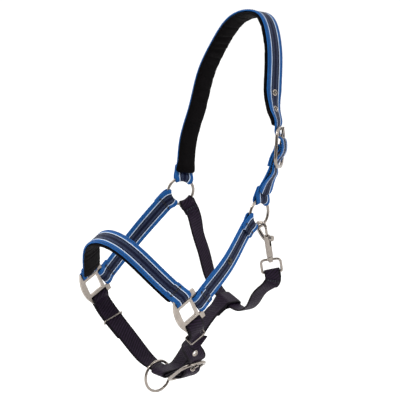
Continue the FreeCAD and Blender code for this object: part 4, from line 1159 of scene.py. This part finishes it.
def pad(name, route, start, end, wrinkles, seed):
    """A foam pad with a plush face: rounded ends and edges, a full inner face and creases across it."""
    width = setting("halter_sizes", "padding_width") / MM
    thick = setting("halter_sizes", "padding_thickness") / MM
    middle = -(WEBBING_THICKNESS / 2 + LAYER_GAP + thick / 2)
    draw = random.Random(seed)
    creases = []
    for centre, reach, count in wrinkles:
        for _ in range(count):
            creases.append((centre + draw.uniform(-reach, reach), draw.uniform(1.4, 2.6),
                draw.uniform(0.5, 1.25),
                            draw.uniform(-0.22, 0.22)))
    count = 36
    loops, uvs = [], []
    places = np.arange(start, end + 0.01, 1.3)
    for distance in places:
        point, tangent, across, out = route.frame(distance)
        near_end = min(distance - start, end - distance)
        fall = min(1.0, 0.35 + 0.65 * math.sqrt(max(0.0, 1 - (1 - min(near_end, 5.0) / 5.0) ** 2)))
        slim = min(1.0, 0.80 + 0.20 * math.sqrt(max(0.0, 1 - (1 - min(near_end, 6.0) / 6.0) ** 2)))
        loop = []
        for index in range(count):
            angle = 2 * math.pi * index / count
            c, s = math.cos(angle), math.sin(angle)
            reach = (abs(c) ** 2.7 + abs(s) ** 2.7) ** (-1 / 2.7)
            u = c * reach * width / 2 * slim
            n = s * reach * thick / 2
            if n < 0:
                swell = 1.0 - 0.16 * (2 * u / width) ** 2
                dip = 0.0
                for place, spread, depth, slant in creases:
                    dip += depth * math.exp(-((distance + slant * u - place) / spread) ** 2)
                n = n * fall * swell + min(dip, 2.0) * (1 - 0.25 * (2 * u / width) ** 2)
                n += 0.12 * math.sin(distance * 0.31 + seed) * math.sin(u * 0.4 + distance * 0.05)
            loop.append(point + across * u + out * (middle + n))
            uvs.append((index / count, distance / WEBBING_WIDTH))
        loops.append(loop)
    return lofted(name, loops, uvs=uvs, sharp=70.0)


class HALTER_OT_padding(bpy.types.Operator):
    """Builds the plush pads under the crown and the noseband"""
    bl_idname = "halter.padding"
    bl_label = "Padding"

    def execute(self, context):
        wrinkles = [(95.0, 40.0, 7), (150.0, 45.0, 9), (215.0, 30.0, 6), (270.0, 30.0, 5), (335.0, 40.0, 7)]
        crown = pad("crown_pad", CROWN, 4.5, CROWN_USED_HOLE - 17.0, wrinkles, 3)
        reach = EYELET_BORE / 2 + EYELET_RIM + 0.3
        cut_away(crown, [peg(CROWN.spot(hole, 0.0, -8.0), CROWN.frame(hole)[3], reach,
            8.0) for hole in CROWN_HOLES[:2]])
        dress(crown, plush(), "halter", ["crown_padding"])
        route = nose_route()
        wrinkles = [(50.0, 30.0, 5), (130.0, 30.0, 5), (210.0, 30.0, 5)]
        nose = pad("nose_pad", route, 4.0, route.length - 4.0, wrinkles, 5)
        dress(nose, plush(), "halter", ["noseband_padding"])
        return {"FINISHED"}


class HALTER_OT_billet(bpy.types.Operator):
    """Builds the striped strap between the crown buckle and the near ring"""
    bl_idname = "halter.billet"
    bl_label = "Crown billet"

    def execute(self, context):
        route = billet_route()
        strap = folded_strap("crown_billet", route,
            start_turn=on_bar(BUCKLE_CENTRE, CENTRE_BAR / 2, -BUCKLE_UP),
                             end_turn=on_ring(1, CROWN_TILT), start_tail=22.0, end_tail=FOLD_LENGTH)
        cut_away(strap, [block(BUCKLE_CENTRE + BUCKLE_UP * 4.0, BUCKLE_UP, BUCKLE_ACROSS, BUCKLE_OUT,
            (18.0, 5.5, 16.0))])
        dress(strap, striped_webbing(), "halter", ["crown_buckle_strap"])
        lines = fold_stitch(route, False, -1)
        sew("billet_stitches", lines, thread())
        return {"FINISHED"}


class HALTER_OT_noseband(bpy.types.Operator):
    """Builds the striped strap over the nose"""
    bl_idname = "halter.noseband"
    bl_label = "Noseband"

    def execute(self, context):
        route = nose_route()
        turns = [on_bar(square_point(side, SLIDE, BAR_OFFSET), SQUARE_BAR / 2 + 0.25,
            TO_NOSE) for side in (-1, 1)]
        strap = folded_strap("nose_webbing", route, start_turn=turns[0], end_turn=turns[1],
            start_tail=FOLD_LENGTH,
                             end_tail=FOLD_LENGTH, start_side=1, end_side=1)
        dress(strap, striped_webbing(), "halter", ["noseband_strap"])
        lines = fold_stitch(route, True, 1) + fold_stitch(route, False, 1)
        for across in (-10.8, 10.8):
            lines.append(strap_line(route, 18.0, route.length - 18.0, across, 1))
        sew("nose_stitches", lines, thread())
        return {"FINISHED"}


class HALTER_OT_cheeks(bpy.types.Operator):
    """Builds the two cheek straps and the rivet on the near one"""
    bl_idname = "halter.cheeks"
    bl_label = "Cheek straps"

    def execute(self, context):
        for side, name in ((-1, "off"), (1, "near")):
            route = cheek_route(side)
            fold = outward_of(route, 1.0, X_AXIS * side)
            strap = folded_strap(
                name + "_cheek_webbing", route,
                start_turn=on_bar(square_point(side, BAR_OFFSET, 0), SQUARE_BAR / 2 + 0.25, TO_CHEEK),
                end_turn=on_ring(side, ring_direction(side, 207.0)), start_tail=FOLD_LENGTH,
                    end_tail=FOLD_LENGTH,
                start_side=fold, end_side=fold)
            if side == 1:
                self.rivet(route, strap)
            dress(strap, striped_webbing(), "halter", [name + "_cheek_strap"])
            lines = fold_stitch(route, True, fold) + fold_stitch(route, False, fold)
            sew(name + "_cheek_stitches", lines, thread())
        return {"FINISHED"}

    def rivet(self, route, strap):
        distance = route.length * 0.52
        point, tangent, across, out = route.frame(distance)
        out = out if out[0] > 0 else -out
        cut_away(strap, [peg(point, out, 1.55, 6.0)])
        half = WEBBING_THICKNESS / 2 + 0.02
        profile = [(0.0, -half - 0.75), (2.9, -half - 0.7), (3.5, -half - 0.4), (3.5, -half - 0.05),
            (1.5, -half),
                   (1.5, half), (4.1, half), (4.35, half + 0.25), (4.25, half + 0.6), (3.7, half + 0.85),
                   (3.3, half + 0.95), (3.0, half + 1.35), (2.2, half + 1.95), (1.2, half + 2.25),
                       (0.0, half + 2.35)]
        profile = [(max(radius, 0.01), height) for radius, height in profile]
        piece = lathed("cheek_rivet_dome", point, out, profile, sharp=35.0)
        dress(piece, plated("rivet_plate", 0.16, 0.16, 0.30), "halter", ["cheek_rivet"])


def eyelet(point, out, half=WEBBING_THICKNESS / 2):
    """A rolled eyelet, its barrel through the strap and a round rim on each face."""
    bore = EYELET_BORE / 2
    rim = bore + EYELET_RIM
    profile = []
    for sign in (1, -1):
        face = [(bore, half * 0.4), (bore + 0.02, half + 0.35), (bore + 0.25, half + 0.62),
            (bore + 0.7, half + 0.74),
                (rim - 0.45, half + 0.66), (rim - 0.12, half + 0.42), (rim, half + 0.12),
                    (rim - 0.1, half + 0.02),
                (bore + 0.3, half)]
        profile += [(radius, height * sign) for radius, height in (face if sign == 1 else face[::-1])]
    return lathed("eyelet", point, out, profile, count=36, sharp=50.0)


class HALTER_OT_eyelets(bpy.types.Operator):
    """Builds the eyelets in the crown strap and the chin strap"""
    bl_idname = "halter.eyelets"
    bl_label = "Eyelets"

    def execute(self, context):
        for name, route, holes, node in (("crown_rolled_eyelets", CROWN, CROWN_HOLES, "crown_eyelets"),
                                         ("chin_rolled_eyelets", CHIN_NEAR, CHIN_HOLES, "chin_eyelets")):
            parts = [eyelet(route.spot(hole), route.frame(hole)[3]) for hole in holes]
            piece = join(name, parts)
            dress(piece, plated("eyelet_plate", 1.2, 0.18, 0.32), "halter", [node])
        return {"FINISHED"}


def round_ring(name, centre, axis, radius, wire, weld_angle):
    """A ring of round wire with the slight swelling of its butt weld."""
    axis = unit(axis)
    side = square_to(Z_AXIS, axis)
    other = np.cross(axis, side)
    loops = []
    for index in range(120):
        angle = 2 * math.pi * index / 120
        gap = (math.degrees(angle) - weld_angle + 180) % 360 - 180
        size = wire / 2 * (1 + 0.035 * math.exp(-(gap / 3.5) ** 2) - 0.03 * math.exp(-(gap / 1.2) ** 2))
        radial = side * math.cos(angle) + other * math.sin(angle)
        loops.append([centre + radial * (radius + size * math.cos(a)) + axis * (size * math.sin(a))
                      for a in np.linspace(0, 2 * math.pi, 24, endpoint=False)])
    return lofted(name, loops, closed=True, sharp=80.0)


class HALTER_OT_rings(bpy.types.Operator):
    """Builds the two upper rings and the lead ring"""
    bl_idname = "halter.rings"
    bl_label = "Rings"

    def execute(self, context):
        for side, name, body in ((-1, "off", "off_ring"), (1, "near", "near_ring")):
            piece = round_ring(name + "_ring_wire", RING_CENTRE[side], RING_AXIS[side], RING_RADIUS,
                RING_WIRE, 35.0)
            dress(piece, plated("ring_plate", 1.0, 0.20, 0.34), body, [name + "_upper_ring"])
        hang = math.sqrt((LEAD_RADIUS - RING_WIRE / 2) ** 2 - (WEBBING_WIDTH / 2 + 0.5) ** 2)
        centre = CHIN_BOTTOM + Z_AXIS * (WEBBING_THICKNESS / 2 + 0.2 - hang)
        piece = round_ring("lead_ring_wire", centre, X_AXIS, LEAD_RADIUS, RING_WIRE, 200.0)
        dress(piece, plated("lead_plate", 1.0, 0.18, 0.32), "lead", ["lead_ring"])
        return {"FINISHED"}


class HALTER_OT_squares(bpy.types.Operator):
    """Builds the two cast halter squares"""
    bl_idname = "halter.squares"
    bl_label = "Halter squares"

    def execute(self, context):
        for name in ("off", "near"):
            piece = cast_from(name + "_square_casting", name + "_square", voxel=0.34, rounds=7)
            # Tone 1.25 paints the squares' plating lighter than the rest of the hardware: a painted highlight for the
            # light the off square catches. The near square shares the same material.
            dress(piece, plated("square_plate", 1.25, 0.26, 0.42, 0.2), "halter", [name + "_square"])
        return {"FINISHED"}


def buckle_bow(name, centre, up, out):
    """A buckle's outer frame, softened on every edge."""
    across = np.cross(out, up)
    path = rounded_path(centre, up, across, BUCKLE_LENGTH - BUCKLE_BAR, BUCKLE_WIDTH - BUCKLE_BAR,
                        BUCKLE_CORNER - BUCKLE_BAR / 2, 14, 10)
    bow = wire_loop(name, path, out, oval_section(BUCKLE_BAR, BUCKLE_BAR * 0.9, 2.7, 24))
    half = (BUCKLE_WIDTH - BUCKLE_BAR) / 2
    radius = CENTRE_BAR / 2
    profile = [(0.01, -half), (radius * 1.15, -half), (radius * 1.12, -half + 2.6), (radius, -half + 3.6),
               (radius, half - 3.6), (radius * 1.12, half - 2.6), (radius * 1.15, half), (0.01, half)]
    bar = lathed(name + "_bar", centre, across, profile, 24)
    return join(name, [bow, bar])


class HALTER_OT_buckles(bpy.types.Operator):
    """Builds the crown buckle and the chin buckle with their tongues"""
    bl_idname = "halter.buckles"
    bl_label = "Buckles"

    def execute(self, context):
        for name, centre, up, out in (("crown", BUCKLE_CENTRE, BUCKLE_UP, BUCKLE_OUT),
                                      ("chin", CHIN_BUCKLE, CHIN_UP, CHIN_OUT)):
            bow = buckle_bow(name + "_buckle_bow", centre, up, out)
            dress(bow, plated("buckle_plate", 1.0, 0.20, 0.34), "halter", [name + "_buckle_frame"])
            tongue = cast_from(name + "_buckle_prong", name + "_buckle_tongue", voxel=0.22, rounds=5)
            dress(tongue, plated("prong_plate", 1.05, 0.18, 0.30), name + "_tongue",
                [name + "_buckle_tongue"])
        return {"FINISHED"}


class HALTER_OT_chin_straps(bpy.types.Operator):
    """Builds the two dark straps under the chin"""
    bl_idname = "halter.chin_straps"
    bl_label = "Chin straps"

    def execute(self, context):
        route = chin_off_route()
        side = outward_of(route, route.length - 20, vec(-1, 0, -1))
        strap = folded_strap(
            "chin_webbing_off", route, start_turn=on_bar(CHIN_BUCKLE, CENTRE_BAR / 2, -CHIN_UP),
            end_turn=on_bar(square_point(-1, SLIDE, -BAR_OFFSET), SQUARE_BAR / 2 + 0.25, -TO_NOSE),
                start_tail=26.0,
            end_tail=62.0, end_side=side, corners=(1.2, 3.0))
        cut_away(strap, [block(CHIN_BUCKLE + CHIN_UP * 4.0, CHIN_UP, CHIN_ACROSS, CHIN_OUT,
            (18.0, 5.5, 16.0))])
        dress(strap, dark_webbing(), "halter", ["chin_strap_off"])
        near = CHIN_NEAR
        side = 1 if near.frame(12)[3][0] > 0 else -1
        tail = []
        for distance, lift, back in ((8.0, 0.0, 0.0), (17.0, 0.2, 0.0), (25.0, 2.2, 1.5), (33.0, 6.0, 5.0),
                                     (40.0, 11.0, 10.0)):
            point, tangent, across, out = near.frame(distance)
            middle = point + out * (side * (LAYER_STEP + lift)) + across * back
            tail.append(middle + np.outer(SHARES * WEBBING_WIDTH, unit(across - tangent * (0.04 * back))))
        strap = folded_strap(
            "chin_webbing_near", near, start_side=side, extra_start=tail, corners=(2.0, 5.0),
            start_turn=on_bar(square_point(1, SLIDE, -BAR_OFFSET), SQUARE_BAR / 2 + 0.25, -TO_NOSE))
        cut_away(strap, [peg(near.spot(hole), near.frame(hole)[3], EYELET_BORE / 2 + 0.3,
            5.0) for hole in CHIN_HOLES])
        dress(strap, dark_webbing(), "halter", ["chin_strap_near"])
        return {"FINISHED"}


class HALTER_OT_keepers(bpy.types.Operator):
    """Builds the two wire keepers on the chin straps"""
    bl_idname = "halter.keepers"
    bl_label = "Keepers"

    def execute(self, context):
        off = chin_off_route()
        at = off.length - OFF_KEEPER_AT
        self.keeper("off", off, at, outward_of(off, at, vec(-1, 0, -1)), 0.0)
        self.keeper("near", CHIN_NEAR, NEAR_KEEPER_AT, outward_of(CHIN_NEAR, NEAR_KEEPER_AT, X_AXIS), 1.6)
        return {"FINISHED"}

    def keeper(self, name, route, distance, side, slack):
        point, tangent, across, out = route.frame(distance)
        middle = point + out * (side * (LAYER_STEP / 2 + slack))
        width = WEBBING_WIDTH + KEEPER_WIRE + 1.2
        depth = LAYER_STEP + WEBBING_THICKNESS + KEEPER_WIRE + 1.2 + 2 * slack
        path = rounded_path(middle, across, out, width, depth, 1.5, 6, 8)
        piece = wire_loop(name + "_keeper_wire", path, tangent,
            oval_section(KEEPER_WIRE, KEEPER_WIRE, 2.0, 16))
        dress(piece, plated("keeper_plate", 1.0, 0.18, 0.32), "keeper_" + name, [name + "_keeper"])


class HALTER_OT_snap(bpy.types.Operator):
    """Builds the snap: hook and barrel, bolt, swivel eye and spring"""
    bl_idname = "halter.snap"
    bl_label = "Throat snap"

    def execute(self, context):
        for name, node, body, voxel in (("snap_hook_casting", "snap_body", "snap_hook", 0.25),
                                        ("snap_bolt_turned", "snap_bolt", "bolt", 0.22),
                                        ("snap_eye_wire", "snap_swivel_eye", "halter", 0.26)):
            piece = cast_from(name, node, voxel, 5)
            dress(piece, plated("snap_plate", 1.0, 0.17, 0.30), body, [node])
        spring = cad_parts["snap_spring"]
        spring.data.materials.clear()
        spring.data.materials.append(plated("spring_wire", 0.8, 0.25, 0.4))
        return {"FINISHED"}


class HALTER_OT_throat_strap(bpy.types.Operator):
    """Builds the dark strap under the throat"""
    bl_idname = "halter.throat_strap"
    bl_label = "Throat strap"

    def execute(self, context):
        route = throat_route()
        start_side = outward_of(route, 5, -X_AXIS)
        end_side = outward_of(route, route.length - 5, X_AXIS)
        strap = folded_strap("throat_webbing", route, start_turn=on_ring(-1, THROAT_LEAVE),
                             end_turn=on_bar(EYE_BAR, EYE_WIRE / 2, -SNAP_UP), start_tail=FOLD_LENGTH,
                             end_tail=FOLD_LENGTH, start_side=start_side, end_side=end_side,
                                 width=THROAT_WIDTH)
        dress(strap, dark_webbing(), "halter", ["throat_strap"])
        lines = fold_stitch(route, True, start_side, 8.0) + fold_stitch(route, False, end_side, 8.0)
        sew("throat_stitches", lines, thread())
        return {"FINISHED"}


def loop_rows(centre, along, across, strap_width, extra, leave):
    """Rows of a sewn loop round a flat strap; leave is the way its own strap goes, in (across, up)."""
    across = square_to(across, along)
    up = np.cross(along, across)
    a = (strap_width + 2 * CLEARANCE + 1.2 + WEBBING_THICKNESS) / 2
    b = (WEBBING_THICKNESS + 2 * CLEARANCE + extra + WEBBING_THICKNESS) / 2
    rows = []
    for u, v in ((-0.62, 1.0), (-0.3, 1.0), (0.0, 1.0), (0.35, 1.0), (0.68, 0.98), (0.9, 0.72), (1.0, 0.0),
                 (0.9, -0.72), (0.68, -0.98), (0.35, -1.0), (0.0, -1.0), (-0.35, -1.0), (-0.66, -1.0)):
        middle = centre + across * (u * a * leave) + up * (v * b)
        rows.append(middle + np.outer(SHARES * WEBBING_WIDTH, along))
    return rows


class HALTER_OT_jowl_strap(bpy.types.Operator):
    """Builds the dark strap from the throat strap to the chin strap, with a sewn loop at each end"""
    bl_idname = "halter.jowl_strap"
    bl_label = "Jowl strap"

    def execute(self, context):
        upper = THROAT_BOTTOM
        lower = vec(JOWL_LOOP_X, -154.6, -456.5)
        high = THROAT_WIDTH / 2 + CLEARANCE + 0.4
        low = WEBBING_WIDTH / 2 + CLEARANCE + 0.4
        route = Route([(upper + vec(0, -high - 2.0, -3.0), X_AXIS), (upper + vec(0, -high - 12, -8), X_AXIS),
                       ((upper + lower) / 2 + vec(0, -2, 1), X_AXIS), (lower + vec(0, low + 11, 9), X_AXIS),
                       (lower + vec(0, low + 2.0, 1.0), X_AXIS)])
        top_loop = loop_rows(upper, LOOP_ALONG, vec(0, 1, -0.06), THROAT_WIDTH, 2.4, 1)
        low_loop = loop_rows(lower, X_AXIS, Y_AXIS, WEBBING_WIDTH, 1.2, -1)
        sign = 1 if route.frame(20)[3][2] > 0 else -1
        tail_top = route_rows(route, 18.0, 8.0, -sign * LAYER_STEP)
        tail_low = route_rows(route, route.length - 8.0, route.length - 18.0, -sign * LAYER_STEP)
        rows = tail_top + top_loop[::-1] + route_rows(route, 7.0, route.length - 7.0) + low_loop + tail_low
        strap = ribbon("jowl_webbing", rows)
        dress(strap, dark_webbing(), "halter", ["jowl_strap"])
        lines = []
        for distance in (9.0, 17.0, route.length - 17.0, route.length - 9.0):
            lines.append(strap_cross(route, distance, -10.0, 10.0, sign))
            lines.append(strap_cross(route, distance, -10.0, 10.0, -sign, -sign * LAYER_STEP))
        sew("jowl_stitches", lines, thread())
        return {"FINISHED"}


class HALTER_OT_stage(bpy.types.Operator):
    """Sets the floor, the lights, the pale room and the camera"""
    bl_idname = "halter.stage"
    bl_label = "Stage"

    def execute(self, context):
        scene = context.scene
        stage = scene.halter_stage
        self.floor(CAD_BOX[0][2] - stage.floor_drop)
        self.lamp("key_light", (0.2, -1.7, 2.3), 0.7, stage.key_power)
        self.lamp("side_light", (2.4, 0.9, 0.9), 0.5, stage.fill_power)
        self.lamp("back_light", (-1.8, -1.3, 1.4), 0.6, stage.fill_power)
        self.room(scene, stage.room_light)
        data = bpy.data.cameras.new("camera")
        data.sensor_width = 36.0
        data.lens = stage.lens
        data.clip_end = 100.0
        camera = bpy.data.objects.new("camera", data)
        camera.location = (1.9326, -1.7166, 0.3960)
        camera.rotation_euler = (math.radians(76.0), 0.0, math.radians(50.0))
        scene.collection.objects.link(camera)
        scene.camera = camera
        scene.view_settings.view_transform = "Standard"
        return {"FINISHED"}

    def floor(self, level):
        reach = 40.0
        mesh = bpy.data.meshes.new("floor")
        mesh.from_pydata([(-reach, -reach, level), (reach, -reach, level), (reach, reach, level),
            (-reach, reach, level)],
                         [], [(0, 1, 2, 3)])
        piece = bpy.data.objects.new("floor", mesh)
        bpy.context.scene.collection.objects.link(piece)
        material, make, shader = new_material("floor_paper")
        place = make.node("ShaderNodeTexCoord")
        mottle = make.noise(place.outputs["Object"], 3.0, 2.0)
        make.link(tinted(make, (0.97, 0.97, 0.97, 1.0), make.spread(mottle, 0.995, 1.005)),
            shader.inputs["Base Color"])
        shader.inputs["Roughness"].default_value = 0.95
        shader.inputs["Specular IOR Level"].default_value = 0.0
        mesh.materials.append(material)

    def lamp(self, name, place, size, power):
        data = bpy.data.lights.new(name, "AREA")
        data.shape = "DISK"
        data.size = size
        data.energy = power
        lamp = bpy.data.objects.new(name, data)
        lamp.location = place
        aim = Vector((0.0, -0.095, -0.233)) - Vector(place)
        lamp.rotation_euler = aim.to_track_quat("-Z", "Y").to_euler()
        bpy.context.scene.collection.objects.link(lamp)

    def room(self, scene, strength):
        world = bpy.data.worlds.new("pale_room")
        scene.world = world
        world.use_nodes = True
        make = Tree(world.node_tree)
        background = world.node_tree.nodes["Background"]
        background.inputs["Strength"].default_value = strength
        place = make.node("ShaderNodeTexCoord")
        facing = make.node("ShaderNodeVectorMath", operation="DOT_PRODUCT")
        facing.inputs[1].default_value = (0.73, -0.64, 0.02)
        make.link(place.outputs["Generated"], facing.inputs[0])
        ramp = make.node("ShaderNodeValToRGB")
        make.link(facing.outputs["Value"], ramp.inputs["Fac"])
        ramp.color_ramp.interpolation = "EASE"
        ramp.color_ramp.elements[0].position = 0.02
        ramp.color_ramp.elements[0].color = (1.0, 1.0, 1.0, 1.0)
        ramp.color_ramp.elements[1].position = 0.60
        ramp.color_ramp.elements[1].color = (0.10, 0.095, 0.09, 1.0)
        make.link(ramp.outputs["Color"], background.inputs["Color"])


class HALTER_PT_panel(bpy.types.Panel):
    """Halter sizes, colours and pieces"""
    bl_idname = "HALTER_PT_panel"
    bl_label = "Head halter"
    bl_space_type = "VIEW_3D"
    bl_region_type = "UI"
    bl_category = "Halter"

    def draw(self, context):
        layout = self.layout
        for group in GROUPS:
            settings = getattr(context.scene, group)
            box = layout.box()
            for name in settings.bl_rna.properties.keys():
                if name not in ("rna_type", "name"):
                    box.prop(settings, name)
        for operator in OPERATORS:
            layout.operator(operator.bl_idname)


GROUPS = {"halter_sizes": HalterSizes, "halter_colours": HalterColours, "halter_stage": HalterStage}
OPERATORS = (
    HALTER_OT_stage, HALTER_OT_crown_strap, HALTER_OT_padding, HALTER_OT_billet, HALTER_OT_noseband,
        HALTER_OT_cheeks,
    HALTER_OT_eyelets, HALTER_OT_rings, HALTER_OT_squares, HALTER_OT_buckles, HALTER_OT_chin_straps,
    HALTER_OT_keepers, HALTER_OT_snap, HALTER_OT_throat_strap, HALTER_OT_jowl_strap,
)


def register():
    for cls in tuple(GROUPS.values()) + OPERATORS + (HALTER_PT_panel,):
        bpy.utils.register_class(cls)
    for name, group in GROUPS.items():
        setattr(bpy.types.Scene, name, bpy.props.PointerProperty(type=group))


def unregister():
    for name in GROUPS:
        delattr(bpy.types.Scene, name)
    for cls in reversed(tuple(GROUPS.values()) + OPERATORS + (HALTER_PT_panel,)):
        bpy.utils.unregister_class(cls)


def main():
    register()
    for operator in OPERATORS:
        group, name = operator.bl_idname.split(".")
        getattr(getattr(bpy.ops, group), name)()
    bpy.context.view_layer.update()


if __name__ == "__main__":
    main()
